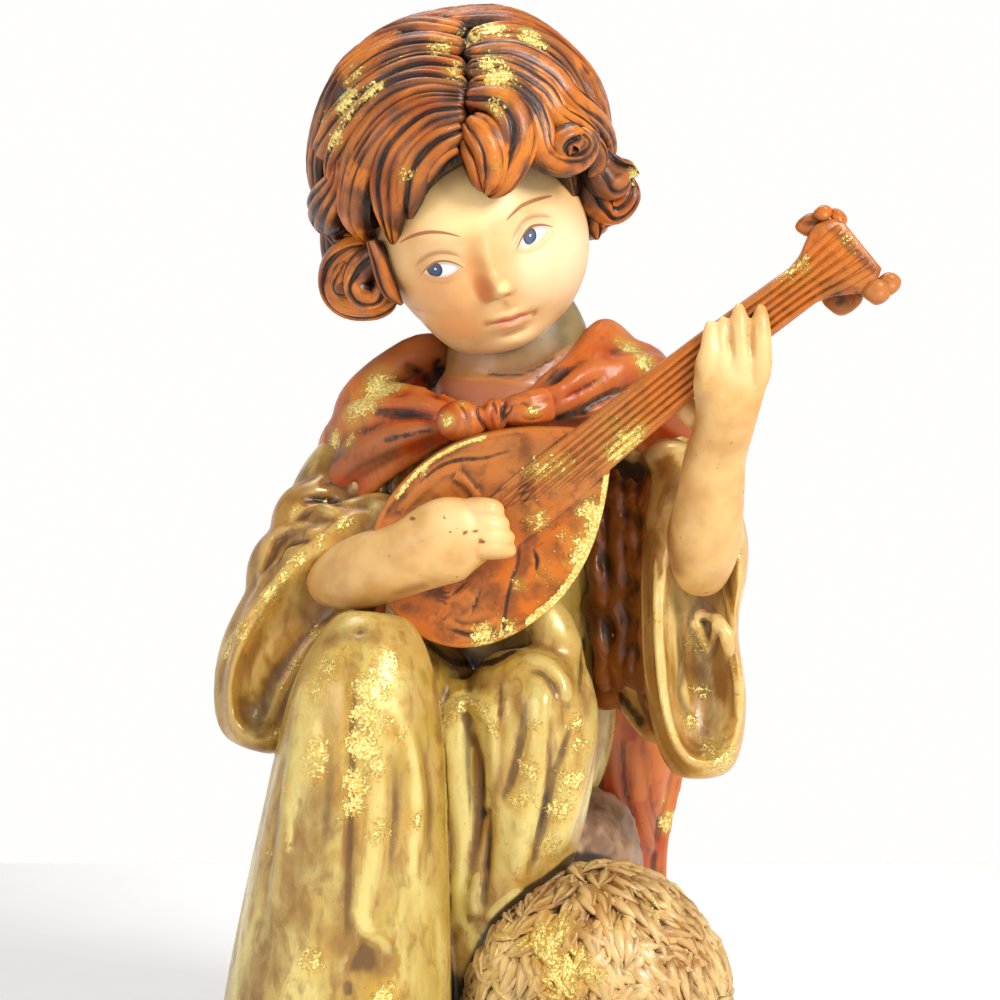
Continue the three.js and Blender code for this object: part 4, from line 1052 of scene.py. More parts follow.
class Finish:
    # a small helper for shader trees: sizes are in millimetres, and plain numbers or sockets both work
    def __init__(self, name):
        self.stuff = bpy.data.materials.new(name)
        self.stuff.use_nodes = True
        self.nodes = self.stuff.node_tree.nodes
        self.links = self.stuff.node_tree.links
        self.nodes.clear()
        self.shader = self.nodes.new("ShaderNodeBsdfPrincipled")
        out = self.nodes.new("ShaderNodeOutputMaterial")
        self.links.new(self.shader.outputs[0], out.inputs[0])
        self.place = self.nodes.new("ShaderNodeTexCoord").outputs["Object"]

    def put(self, socket, value):
        if isinstance(value, bpy.types.NodeSocket):
            self.links.new(value, socket)
        elif value is not None:
            socket.default_value = value

    def set(self, **values):
        for key, value in values.items():
            self.put(self.shader.inputs[key.replace("_", " ")], value)

    def attribute(self, name):
        node = self.nodes.new("ShaderNodeAttribute")
        node.attribute_name = name
        return node.outputs["Fac"]

    def ownMap(self):
        node = self.nodes.new("ShaderNodeUVMap")
        node.uv_map = "front"
        return node.outputs[0]

    def stretched(self, scale, place=None):
        node = self.nodes.new("ShaderNodeMapping")
        self.put(node.inputs["Vector"], place or self.place)
        node.inputs["Scale"].default_value = scale
        return node.outputs[0]

    def noise(self, size, detail=3.0, rough=0.55, warp=0.0, place=None):
        node = self.nodes.new("ShaderNodeTexNoise")
        self.put(node.inputs["Vector"], place or self.place)
        node.inputs["Scale"].default_value = 1000 / size
        node.inputs["Detail"].default_value = detail
        node.inputs["Roughness"].default_value = rough
        node.inputs["Distortion"].default_value = warp
        return node.outputs["Fac"]

    def maths(self, work, a, b=None):
        node = self.nodes.new("ShaderNodeMath")
        node.operation = work
        for socket, value in zip(node.inputs, (a, b)):
            self.put(socket, value)
        return node.outputs[0]

    def plus(self, a, b):
        return self.maths("ADD", a, b)

    def less(self, a, b):
        return self.maths("SUBTRACT", a, b)

    def times(self, a, b):
        return self.maths("MULTIPLY", a, b)

    def step(self, value, low, high, a=0.0, b=1.0):
        # a soft step from a to b as the value goes from low to high
        node = self.nodes.new("ShaderNodeMapRange")
        node.interpolation_type = "SMOOTHSTEP"
        for socket, v in zip(node.inputs, (value, low, high, a, b)):
            self.put(socket, v)
        return node.outputs[0]

    def mixed(self, share, a, b):
        node = self.nodes.new("ShaderNodeMix")
        node.data_type = "RGBA"
        node.clamp_factor = True
        self.put(node.inputs[0], share)
        self.put(node.inputs[6], a)
        self.put(node.inputs[7], b)
        return node.outputs[2]

    def bump(self, height, depth, strength=1.0):
        node = self.nodes.new("ShaderNodeBump")
        node.inputs["Strength"].default_value = strength
        node.inputs["Distance"].default_value = depth * mm
        self.put(node.inputs["Height"], height)
        self.put(self.shader.inputs["Normal"], node.outputs[0])


finishSet = {
    "leafColour": paint(255, 244, 160),
    "leafDull": paint(226, 176, 72),
    "leafGlaze": paint(214, 160, 48),
    # the wash colour also paints shade in hollows, cuts and gaps; the nook colour is painted shade, nearly
    # black, in the deepest undercuts
    "washAndShadeColour": paint(88, 54, 26),
    "nookShadeColour": paint(30, 20, 14),
    "leafSize": 0.9,  # how large the flakes of gold leaf are
}


def leafMask(f, spare):
    # crinkled flakes: none where the placing is 0, nearly whole where it is 1
    size = finishSet["leafSize"]
    fine = f.noise(size, 5, 0.75, 0.6)
    broad = f.noise(size * 5, 4, 0.65, 0.4)
    mixedUp = f.plus(f.times(fine, 0.62), f.times(broad, 0.38))
    edge = f.less(spare, f.times(f.attribute("leaf"), 0.22))
    return f.step(f.less(mixedUp, edge), -0.006, 0.03)


def paintedFinish(name, base, pale, deep, washAndShadeShare=0.8, leafSpare=0.7, metal=0.0, rough=(0.28, 0.46), streak=None,
                  specks=0.35, coat=0.2, washAndShadeColour=None, grain=0.5, furrowAt=(0.3, 1.2), nookShadeAt=(0.3, 0.58),
                  sheen=None, shine=0.4, glaze=0.5, strands=None, patchSize=24):
    # brushed paint over the casting, wash and painted shade in the hollows, painted highlights on ridges,
    # worn leaf on top and a satin varnish
    f = Finish(name)
    broad = f.noise(17, 3, 0.5, 0.4, place=f.stretched((1, 1, 0.4)))
    if strands:  # fine lines that follow the locks
        small = f.noise(10, 4, 0.6, 0.3, place=f.stretched(strands, place=f.ownMap()))
    else:
        small = f.noise(3.4, 4, 0.6, 0.6, place=f.stretched(streak or (1, 1, 0.4)))
    furrow = f.attribute("furrow")
    nook = f.attribute("nook")
    stain = f.attribute("stain")
    colour = f.mixed(f.step(broad, 0.36, 0.64), base, pale)
    if sheen:
        colour = f.mixed(f.step(f.noise(patchSize, 3, 0.55, 0.5), 0.44, 0.58), colour, sheen)
    colour = f.mixed(f.times(f.step(small, 0.46, 0.7), 0.55), colour, deep)
    brushed = f.times(f.less(small, 0.5), 1.1)
    # strokes above 0 paint brown stains and painted shade, below 0 pale pearl and painted highlights
    brownAndShade = f.step(f.plus(stain, brushed), 0.2, 1.25)
    colour = f.mixed(f.times(brownAndShade, 0.75), colour, deep)
    # a painted highlight on the ridges and along the pale strokes
    ridge = f.step(furrow, -0.15, -1.0)
    pearlAndHighlight = f.step(f.plus(stain, brushed), -0.15, -1.1)
    colour = f.mixed(f.maths("MAXIMUM", f.times(ridge, 0.5), pearlAndHighlight), colour, pale)
    leafPlace = f.attribute("leaf")
    colour = f.mixed(f.times(f.step(leafPlace, 0.1, 1.0), glaze), colour, finishSet["leafGlaze"])
    # wash and painted shade in the hollows, the cuts of the hair and the gaps of the fleece
    washAndShade = f.times(f.step(furrow, *furrowAt), f.step(small, 0.2, 0.6, 0.6, 1.0))
    colour = f.mixed(f.times(washAndShade, washAndShadeShare), colour, washAndShadeColour or finishSet["washAndShadeColour"])
    # painted shade, nearly black, in the nooks, the deepest furrows and under the darkest strokes
    deepestShade = f.step(f.plus(nook, f.times(small, 0.2)), nookShadeAt[0] + 0.1, nookShadeAt[1] + 0.1)
    deepestShade = f.maths("MAXIMUM", deepestShade, f.step(furrow, 1.5, 2.6))
    deepestShade = f.maths("MAXIMUM", deepestShade, f.step(f.plus(stain, brushed), 1.5, 2.2))
    colour = f.mixed(f.times(deepestShade, 0.92), colour, finishSet["nookShadeColour"])
    dots = f.times(f.step(f.noise(1.0, 2, 0.5), 0.7, 0.75), specks)
    colour = f.mixed(dots, colour, paint(56, 36, 22))
    leaf = leafMask(f, f.less(leafSpare, f.times(ridge, 0.015)))
    bright = f.step(f.noise(0.7, 3, 0.7), 0.4, 0.6)
    colour = f.mixed(leaf, colour, f.mixed(bright, finishSet["leafDull"], finishSet["leafColour"]))
    roughness = f.step(f.noise(5, 3, 0.6), 0.3, 0.7, rough[0], rough[1])
    roughness = f.plus(roughness, f.times(washAndShade, 0.12))
    metallic = f.maths("MAXIMUM", f.times(leaf, 0.7), metal)
    f.set(Base_Color=colour, Roughness=roughness, Metallic=metallic, Coat_Weight=coat, Coat_Roughness=0.16,
          Specular_IOR_Level=shine)
    height = f.plus(f.times(small, grain), f.times(leaf, 0.2))
    height = f.plus(height, f.times(f.noise(0.8, 3, 0.6), 0.3 * grain))
    height = f.plus(height, f.times(f.times(leaf, f.noise(0.5, 2, 0.6)), 0.9))
    f.bump(height, 0.32, 0.9)
    return f.stuff


def faceFinish():
    f = Finish("facePaint")
    plus, less, times = f.plus, f.less, f.times
    split = f.nodes.new("ShaderNodeSeparateXYZ")
    f.links.new(f.ownMap(), split.inputs[0])
    x, z = (times(less(split.outputs[k], 0.5), mapSide) for k in (0, 1))
    front = f.attribute("facing")

    def square(a):
        return times(a, a)

    def away(cx, cz, rx, rz):
        # 0 in the middle of an oval and 1 at its edge
        return plus(square(times(less(x, cx), 1 / rx)), square(times(less(z, cz), 1 / rz)))

    def oval(cx, cz, rx, rz, soft=0.12):
        return f.step(away(cx, cz, rx, rz), 1 + soft, 1 - soft)

    def stroke(cx, top, bend, halfLength, halfThick, slope=0.0):
        # a thin arch of paint, thickest in its middle
        dx = less(x, cx)
        line = plus(top, plus(times(dx, slope), times(square(dx), -bend)))
        reach = less(1.0, square(times(dx, 1 / halfLength)))
        thick = times(f.maths("POWER", f.maths("MAXIMUM", reach, 0.0), 0.5), halfThick)
        mark = f.step(less(thick, f.maths("ABSOLUTE", less(z, line))), -0.105, 0.175)
        return times(times(mark, f.step(reach, 0.0, 0.1)), front)

    mottle = f.noise(9, 3, 0.5)
    colour = f.mixed(f.step(mottle, 0.3, 0.7), faceSet["skin"], faceSet["skinPale"])
    for cx, cz, rx, rz, share, tint in faceSet["tints"]:
        colour = f.mixed(times(times(f.step(away(cx, cz, rx, rz), 1.0, 0.0), share), front), colour, tint)
    # the openings of the eyes, leaning a little, with the white, the iris, the pupil and a light
    for s in (-1, 1):
        eye = faceSet["eyeAside"] * s
        dx = less(x, eye + 0.1)
        upper = plus(1.95, times(square(dx), -0.106))
        lower = plus(-1.95, times(square(dx), 0.084))
        inside = f.maths("MINIMUM", less(upper, z), less(z, lower))
        opening = times(f.step(inside, -0.12, 0.18), front)
        white = f.mixed(f.step(inside, 0.0, 1.3), paint(208, 190, 178), paint(250, 250, 250))
        ix = eye - (1.7 if s < 0 else 0.75)
        iris = oval(ix, 0.25, 1.9, 1.95)
        ring = oval(ix, 0.25, 1.35, 1.4, 0.5)
        blue = f.mixed(ring, paint(24, 34, 60), paint(48, 72, 106))
        blue = f.mixed(times(oval(ix, 0.2, 0.6, 0.65, 0.4), 0.6), blue, paint(28, 42, 68))
        blue = f.mixed(oval(ix + 0.2, 0.3, 0.3, 0.3), blue, paint(200, 214, 236))
        white = f.mixed(iris, white, blue)
        colour = f.mixed(opening, colour, white)
        lash = stroke(eye + 0.1, 2.2, 0.1, 5.6, 0.32 if s < 0 else 0.46)
        colour = f.mixed(times(lash, 0.85), colour, paint(120, 70, 34))
        # painted shade in the crease over each eye
        crease = stroke(eye, 4.1, 0.075, 6.4, 0.22)
        colour = f.mixed(times(crease, 0.55), colour, paint(150, 96, 50))
        under = stroke(eye, -2.3, -0.086, 4.2, 0.14)
        colour = f.mixed(times(under, 0.5), colour, paint(168, 120, 84))
    colour = f.mixed(times(stroke(-12.9, 9.9, 0.0443, 7.6, 0.48, -0.041), 0.92), colour, paint(158, 86, 32))
    colour = f.mixed(times(stroke(13.5, 8.0, 0.0273, 6.8, 0.56, -0.103), 0.92), colour, paint(158, 86, 32))
    # lips: a bow above, a fuller one below, and the line between them
    dx = less(x, 0.9)
    bow = times(f.step(f.maths("ABSOLUTE", dx), 1.6, 0.2), 0.45)
    lipTop = less(plus(plus(-16.2, times(dx, -0.09)), times(square(dx), -0.075)), bow)
    lipLow = plus(plus(-21.0, times(dx, -0.06)), times(square(less(dx, 0.6)), 0.09))
    within = f.maths("MINIMUM", less(lipTop, z), less(z, lipLow))
    lips = times(f.step(within, -0.5, 0.7), front)
    upper = f.step(plus(z, times(dx, 0.09)), -18.7, -17.9)
    colour = f.mixed(times(lips, 0.85), colour, f.mixed(upper, paint(240, 150, 116), paint(216, 122, 88)))
    seam = stroke(0.9, -18.4, 0.004, 5.6, 0.26, -0.09)
    colour = f.mixed(times(seam, 0.7), colour, paint(150, 70, 44))
    # painted shade in the nooks and hollows of the face
    nook = f.step(f.attribute("nook"), 0.45, 0.95)
    furrow = f.step(f.attribute("furrow"), 0.1, 0.9)
    hollow = times(f.maths("MAXIMUM", nook, times(furrow, 0.5)), 0.75)
    colour = f.mixed(hollow, colour, paint(140, 84, 40))
    specks = f.step(f.noise(0.9, 2, 0.5), 0.74, 0.79)
    colour = f.mixed(times(specks, 0.3), colour, paint(110, 80, 52))
    fine = f.noise(1.1, 4, 0.6)
    roughness = f.step(f.noise(6, 3, 0.5), 0.3, 0.7, 0.42, 0.52)
    f.set(Base_Color=colour, Roughness=roughness, Coat_Weight=0.08, Coat_Roughness=0.3,
          Subsurface_Weight=0.12, Subsurface_Radius=(1.0, 0.4, 0.2), Subsurface_Scale=0.002)
    f.bump(fine, 0.06, 0.5)
    return f.stuff


faceSet["skin"] = paint(216, 168, 108)
faceSet["skinPale"] = paint(228, 186, 130)
faceSet["tints"] = [
    # x, z, half width, half height, share and colour of each soft tint: painted shade on the left side, in
    # the sockets, by the nose, under the lip and at the mouth's corners; painted light on the right side,
    # forehead, nose tip and chin; a little blush on the cheeks
    (-16, -10, 14, 14, 0.7, paint(214, 146, 80)), (-20, 14, 12, 14, 0.4, paint(220, 164, 98)),
    (16, -8, 14, 15, 0.8, paint(244, 214, 168)), (-13, -18, 8, 6, 0.5, paint(240, 160, 98)),
    (-4.2, -3.6, 3.6, 9, 0.7, paint(206, 128, 54)), (-4.0, -7, 3.0, 5.4, 0.9, paint(186, 100, 30)),
    (-13, 0, 9, 6, 0.35, paint(204, 142, 84)), (13, 0, 9, 6, 0.25, paint(214, 160, 100)),
    (2, -27, 13, 7, 0.9, paint(252, 212, 152)), (1, -23.4, 5, 1.6, 0.2, paint(206, 142, 88)),
    (1.0, -7.8, 2.4, 2.6, 0.7, paint(252, 216, 146)), (-5.2, -17.6, 2.2, 1.8, 0.4, paint(206, 132, 70)),
    (7.2, -19.6, 1.5, 1.5, 0.5, paint(196, 124, 66)), (13, -11, 6, 6, 0.15, paint(240, 176, 126)),
    (-4, 14, 15, 9, 0.8, paint(255, 216, 148)), (12, 15, 14, 9, 0.7, paint(250, 216, 156)),
]


def skinFinish(name, base, pale, tunic=None):
    f = Finish(name)
    mottle = f.noise(8, 3, 0.5)
    colour = f.mixed(f.step(mottle, 0.3, 0.7), base, pale)
    if tunic:  # below the seam of the neck the cloth begins: the seam rises to one side
        parts = f.nodes.new("ShaderNodeSeparateXYZ")
        f.put(parts.inputs[0], f.place)
        aside = f.times(f.less(parts.outputs[0], 0.006), 1000.0)
        rise = f.times(f.maths("MAXIMUM", aside, 0.0), aside)
        seam = f.plus(f.times(rise, 0.0000204), 0.2026)
        colour = f.mixed(f.step(f.less(seam, parts.outputs[2]), -0.0003, 0.0003), colour, tunic)
    # painted shade in the hollows and nooks; strokes paint shade, highlights and a few chips
    colour = f.mixed(f.times(f.step(f.attribute("furrow"), 0.1, 0.8), 0.6), colour, paint(190, 128, 66))
    colour = f.mixed(f.times(f.step(f.attribute("nook"), 0.45, 1.0), 0.85), colour, paint(104, 62, 30))
    stain = f.attribute("stain")
    colour = f.mixed(f.step(stain, 0.1, 1.0), colour, paint(150, 92, 46))
    colour = f.mixed(f.step(stain, -0.1, -1.0), colour, paint(232, 196, 134))
    colour = f.mixed(f.step(stain, 1.2, 2.2), colour, paint(70, 54, 26))
    spots = f.times(f.step(f.noise(1.7, 2, 0.4), 0.735, 0.752), 0.8)
    colour = f.mixed(spots, colour, paint(92, 66, 44))
    roughness = f.step(f.noise(6, 3, 0.5), 0.3, 0.7, 0.36, 0.48)
    f.set(Base_Color=colour, Roughness=roughness, Coat_Weight=0.2, Coat_Roughness=0.22,
          Subsurface_Weight=0.1, Subsurface_Radius=(1.0, 0.4, 0.2), Subsurface_Scale=0.002)
    f.bump(f.noise(1.3, 4, 0.6), 0.1, 0.5)
    return f.stuff


leafSpots = {
    # on the picture: x, y, radius in millimetres, strength
    "hair": [
        (440, 46, 4, 1), (455, 72, 4, 0.9), (470, 38, 5, 0.9), (495, 30, 5, 0.9), (492, 60, 5, 0.9),
        (500, 80, 5, 1.2), (494, 103, 4, 0.8), (532, 41, 5, 1.1), (345, 102, 7, 1), (335, 140, 5, 1),
        (372, 90, 4, 1), (325, 120, 4, 0.8), (352, 80, 5, 0.8), (397, 60, 4, 0.6), (634, 174, 3, 1.3),
        (405, 176, 4, 0.6), (500, 165, 3, 0.6),
    ],
    "robe": [
        (325, 668, 6, 1.1), (312, 690, 5, 1), (345, 652, 4, 0.9), (370, 690, 7, 1.3), (386, 662, 5, 1.2),
        (364, 715, 6, 1.3), (360, 745, 7, 1.3), (356, 780, 6, 1.3), (352, 805, 5, 1.2), (385, 725, 5, 1),
        (378, 770, 5, 1), (380, 830, 6, 0.9), (415, 820, 4, 0.9), (404, 735, 5, 0.8), (318, 750, 6, 1.1),
        (316, 770, 5, 1.1), (283, 790, 4, 0.8), (270, 850, 3, 0.7), (315, 962, 5, 1.1), (385, 995, 5, 1.3),
        (300, 715, 5, 0.7), (448, 712, 5, 1.2), (462, 705, 5, 1.1), (480, 708, 5, 1.1), (490, 730, 4, 0.9),
        (447, 770, 4, 0.7), (530, 770, 5, 1.1), (520, 800, 5, 1.1), (533, 730, 4, 0.9), (570, 780, 6, 1.1),
        (560, 810, 6, 1.1), (580, 745, 5, 1), (548, 846, 5, 0.9), (575, 722, 4, 0.9), (520, 880, 4, 0.8),
    ],
    "rightSleeve": [
        (300, 560, 4, 1.1), (285, 575, 4, 1.1), (270, 597, 4, 1.2), (262, 615, 4, 1.1), (240, 632, 5, 1.1),
        (228, 650, 5, 1.1), (320, 540, 4, 1.1), (345, 522, 4, 1.1), (340, 605, 5, 0.8), (315, 630, 4, 0.9),
        (295, 665, 4, 1), (285, 690, 4, 0.9), (325, 500, 3, 0.7), (275, 735, 4, 0.8), (295, 508, 3, 0.8),
    ],
    "leftSleeve": [
        (715, 755, 8, 1.1), (690, 720, 5, 1.1), (700, 690, 5, 0.9), (685, 640, 4, 0.8), (738, 550, 4, 1.1),
        (730, 610, 4, 0.7), (700, 640, 5, 0.9), (735, 670, 4, 1), (740, 700, 4, 0.7), (655, 620, 3, 0.9),
        (672, 740, 4, 0.8), (744, 520, 4, 0.8),
    ],
    "cloak": [
        (380, 390, 7, 1.2), (366, 402, 5, 1.2), (395, 385, 5, 1.1), (352, 412, 6, 1), (335, 440, 4, 1),
        (315, 470, 4, 1), (300, 495, 3, 0.9), (350, 440, 4, 0.8), (632, 349, 5, 1.2), (645, 358, 5, 1.1),
        (625, 343, 4, 1), (657, 372, 4, 0.8), (668, 822, 4, 1.2), (664, 800, 3, 0.8), (690, 790, 3, 0.6),
    ],
    "bow": [
        (447, 420, 2.5, 1.2), (462, 405, 2, 0.8), (535, 410, 3, 0.8),
    ],
    "lute": [
        (590, 512, 4, 1.1), (598, 530, 5, 1.2), (588, 545, 5, 1.1), (578, 560, 4, 1), (538, 520, 4, 0.8),
        (555, 465, 5, 0.8), (535, 470, 4, 0.8), (486, 640, 5, 1.1), (505, 630, 4, 0.9), (470, 648, 4, 0.9),
        (629, 440, 4, 1.2), (616, 452, 4, 1.2), (640, 428, 3, 1), (520, 585, 3, 0.7), (575, 590, 4, 0.8),
        (610, 425, 4, 0.6), (700, 375, 4, 0.6), (440, 450, 3, 0.7), (560, 610, 4, 0.7), (845, 240, 5, 0.5),
        (420, 470, 2.5, 0.8), (550, 575, 7, 0.45), (575, 545, 6, 0.6), (780, 276, 4, 0.7),
        (800, 268, 4, 0.6),
    ],
    "lamb": [
        (548, 935, 6, 1.1), (560, 925, 5, 1), (545, 955, 5, 1.1), (562, 982, 7, 1.2), (575, 960, 5, 1.1),
        (530, 940, 5, 0.9), (505, 932, 4, 0.7), (590, 975, 5, 0.9), (612, 925, 5, 0.6), (650, 905, 4, 0.6),
    ],
}

leafLines = {
    # thin worn lines of gold: line on the picture, radius in millimetres, strength
    "lute": [
        ([(607, 479), (604, 500), (600, 516), (594, 533), (587, 550), (579, 566), (569, 582), (558, 597),
          (546, 608), (530, 622)], 1, 2.2),
        ([(397, 497), (407, 484), (419, 471), (433, 460), (448, 451), (465, 443), (484, 437)], 0.8, 1.3),
    ],
}

stainAndShadeStrokes = {
    # soft strokes of paint on the picture: line, radius in millimetres, brown above 0 for stains and painted
    # shade, pale pearl below 0 with painted highlights
    "robe": [
        ([(590, 700), (588, 740), (582, 780)], 4.5, 1.2), ([(330, 641), (350, 634), (374, 637)], 4, 1.1),
        ([(490, 905), (483, 925)], 4, 1.5), ([(462, 700), (475, 712), (490, 712)], 6, -1.2),
        ([(486, 722), (490, 752)], 5, -1.1), ([(337, 880), (339, 940), (334, 985)], 4, 0.9),
        ([(322, 800), (300, 860), (275, 930), (250, 1000)], 9, 1.1),
        ([(575, 480), (610, 474), (640, 470)], 5, 1.8), ([(300, 740), (282, 800), (270, 860)], 4, 0.6),
        ([(350, 920), (300, 950), (270, 980)], 6, 0.6), ([(330, 700), (325, 760), (322, 850)], 4, 0.4),
        ([(432, 647), (450, 660), (470, 664), (492, 662), (512, 652)], 2.6, 2.4),
        ([(434, 660), (436, 690), (440, 740)], 2.2, 1.6), ([(352, 640), (352, 720), (350, 780)], 2.4, 0.9),
        ([(350, 820), (348, 880), (347, 930)], 2.6, 1.2), ([(345, 945), (365, 958), (388, 962)], 6, 1.3),
        ([(300, 940), (320, 960), (335, 975)], 5, 0.7), ([(448, 690), (475, 684), (500, 680)], 4, 0.9),
        ([(476, 740), (479, 800), (476, 860), (470, 920)], 1.6, 1.5),
        ([(500, 690), (500, 760), (488, 830), (485, 900)], 2, 0.9),
        ([(548, 700), (549, 760), (541, 830), (528, 880)], 1.8, 1.1),
        ([(568, 740), (552, 790), (543, 850)], 2.4, 0.9), ([(515, 690), (520, 740), (506, 790)], 2.4, 0.8),
        ([(490, 900), (510, 890), (540, 870)], 6, 0.8), ([(556, 650), (572, 680), (560, 720)], 2.5, 0.9),
        ([(392, 440), (385, 480), (378, 510)], 5, 1), ([(420, 430), (405, 470), (395, 500)], 2.5, 0.8),
        ([(384, 760), (386, 840), (380, 900)], 3, 0.5), ([(430, 740), (432, 850)], 3, 0.5),
        ([(264, 800), (256, 870)], 4, 0.5),
        ([(372, 680), (378, 740), (377, 800), (374, 850), (362, 910), (368, 930)], 2.6, -1),
        ([(392, 700), (412, 750), (417, 800), (413, 870)], 2, -1),
        ([(305, 690), (296, 760), (290, 850), (285, 930)], 3.4, -0.9), ([(330, 650), (315, 690)], 4, -0.7),
        ([(448, 730), (452, 790), (460, 850), (459, 920)], 3, -1.1), ([(490, 730), (494, 770)], 2, -0.8),
        ([(458, 712), (466, 760), (468, 840)], 5, -1), ([(536, 690), (536, 760), (524, 830)], 2.4, -0.9),
        ([(570, 740), (566, 790), (552, 840)], 2.2, -0.6), ([(590, 600), (592, 640)], 5, -0.6),
        ([(400, 930), (402, 990)], 6, -0.6),
    ],
    "rightSleeve": [
        ([(300, 478), (316, 490), (330, 486)], 5, 1.5), ([(376, 612), (400, 618)], 3, 2),
        ([(243, 640), (232, 680), (232, 715)], 5, 0.6), ([(330, 470), (352, 470), (372, 480)], 7, 1.4),
        ([(300, 500), (330, 490), (360, 500)], 5, 1.3), ([(268, 560), (280, 575), (262, 600)], 3.5, 1),
        ([(290, 535), (310, 525)], 3, 0.8), ([(345, 622), (310, 640), (292, 665)], 2.6, 0.8),
        ([(278, 690), (262, 715), (250, 735)], 3, -0.8), ([(330, 600), (322, 620)], 3, 1.2),
        ([(300, 585), (270, 640), (250, 690)], 5, -0.5), ([(320, 545), (285, 575)], 3, -0.8),
    ],
    "leftSleeve": [
        ([(616, 694), (628, 706), (640, 722)], 4.5, 2.3),
        ([(650, 545), (648, 600), (650, 660), (662, 730), (685, 765)], 5, 1.7),
        ([(636, 540), (634, 600), (640, 680)], 6, 1.7),
        ([(714, 585), (712, 620), (718, 650), (724, 690)], 4, 1.4),
        ([(728, 570), (732, 640), (730, 700)], 3, 1), ([(692, 650), (696, 700), (706, 735)], 3, 0.8),
        ([(700, 560), (690, 590)], 4, 0.8), ([(672, 560), (676, 620), (680, 680), (690, 730)], 3, -1.1),
        ([(700, 640), (712, 690), (722, 740)], 4, -0.8), ([(606, 458), (622, 470), (640, 474)], 4.5, 2.9),
        ([(650, 450), (668, 470), (680, 510)], 4, 1.2),
        ([(655, 560), (656, 650), (668, 720), (690, 765)], 1.4, -1.2), ([(742, 520), (738, 560)], 3, -0.7),
        ([(676, 440), (682, 460)], 4, -0.8),
    ],
    "cloak": [
        ([(336, 458), (362, 456), (390, 440)], 5, 1.7), ([(630, 750), (640, 775), (641, 795)], 4, -1.2),
        ([(376, 374), (395, 352), (415, 338), (440, 333)], 6, 1.3),
        ([(430, 340), (400, 348), (376, 364), (400, 372), (425, 362)], 7, 1.4),
        ([(437, 362), (440, 385)], 3, 2.2), ([(548, 380), (558, 368)], 2.4, 2),
        ([(558, 418), (585, 411)], 2.2, 2.2), ([(385, 440), (430, 430)], 1.6, 2.2),
        ([(450, 356), (454, 384)], 3, -0.6), ([(480, 380), (510, 384), (540, 372)], 4, 0.9),
        ([(345, 400), (330, 430), (305, 480)], 3, 0.7), ([(478, 385), (510, 392), (540, 382)], 4, 0.7),
        ([(625, 720), (640, 790), (655, 850)], 3, 0.7), ([(660, 740), (668, 800)], 7, -1),
        ([(590, 365), (640, 380)], 4, -0.3),
    ],
    "lute": [
        ([(525, 440), (528, 480), (530, 530), (515, 590), (503, 650)], 2.6, 1.1),
        ([(505, 600), (485, 590), (460, 580)], 5, 0.9), ([(440, 560), (452, 580)], 4, 0.8),
        ([(400, 600), (420, 620), (450, 640)], 3, 0.5),
        ([(400, 540), (430, 480), (480, 450), (520, 440)], 6, -0.7),
        ([(540, 560), (575, 540), (600, 500)], 5, -0.3), ([(800, 270), (850, 240)], 6, 0.3),
        ([(836, 294), (846, 306)], 4.2, 2), ([(804, 218), (814, 228)], 2.6, 1.7),
        ([(826, 222), (846, 242), (868, 264), (880, 274)], 1.6, 1.3), ([(856, 292), (860, 296)], 1.4, 2),
    ],
    "rightArm": [
        ([(398, 593), (425, 585)], 2.5, 0.7), ([(322, 604), (345, 610), (370, 600)], 3, 0.5),
        ([(425, 582), (445, 580)], 3, 0.35), ([(411, 518), (414, 519)], 0.4, 2.2),
        ([(464, 533), (466, 532)], 0.35, 2.2), ([(480, 541), (484, 542)], 0.4, 2.4),
        ([(474, 531), (476, 531)], 0.35, 2), ([(505, 510), (509, 515)], 0.5, 1),
        ([(330, 598), (370, 604), (410, 590), (440, 578)], 3, 0.4),
        ([(450, 520), (480, 522), (500, 535)], 7, -0.8),
    ],
    "leftArm": [
        ([(668, 490), (669, 540), (676, 570)], 4, 0.8), ([(702, 400), (694, 430), (682, 470)], 4, 0.5),
        ([(695, 350), (697, 380), (703, 400)], 2, 0.4), ([(715, 340), (735, 365), (755, 345)], 8, -0.8),
    ],
    "neck": [
        ([(436, 338), (441, 352)], 4, 0.9), ([(450, 360), (500, 366), (550, 355)], 6, 0.5),
        ([(490, 374), (511, 376), (531, 371), (553, 359)], 0.7, 2.5),
    ],
    "lamb": [
        ([(460, 990), (475, 940), (505, 905)], 7, 1.3),
        ([(500, 905), (545, 884), (600, 876), (650, 888)], 10, 1.2), ([(722, 940), (724, 990)], 3, 0.5),
    ],
    "ground": [
        ([(582, 800), (590, 830), (604, 856)], 7, 1.5),
    ],
}


# the grid in which the painted shade of the nooks is measured: its corner, size and cell, and how far out
# from the surface it is read
nookShadeSet = {"low": (-95.0, -90.0, -8.0), "size": (225.0, 175.0, 325.0), "cell": 0.9, "ahead": 3.0}


def placed(strokes, skin):
    # soft strokes laid on a surface from the picture, the strongest counting
    out = np.zeros(len(skin.verts))
    tree = skin.tree() if strokes else None
    for path, radius, strength in strokes:
        line = onto(tree, path if len(path) > 1 else [path[0], (path[0][0] + 0.1, path[0][1])])
        away = np.full(len(skin.verts), 1e9)
        for spot in line[:: max(1, int(radius))]:
            away = np.minimum(away, np.linalg.norm(skin.verts - spot, axis=1))
        value = strength * np.exp(-((away / radius) ** 2))
        out = np.where(np.abs(value) > np.abs(out), value, out)
    return out


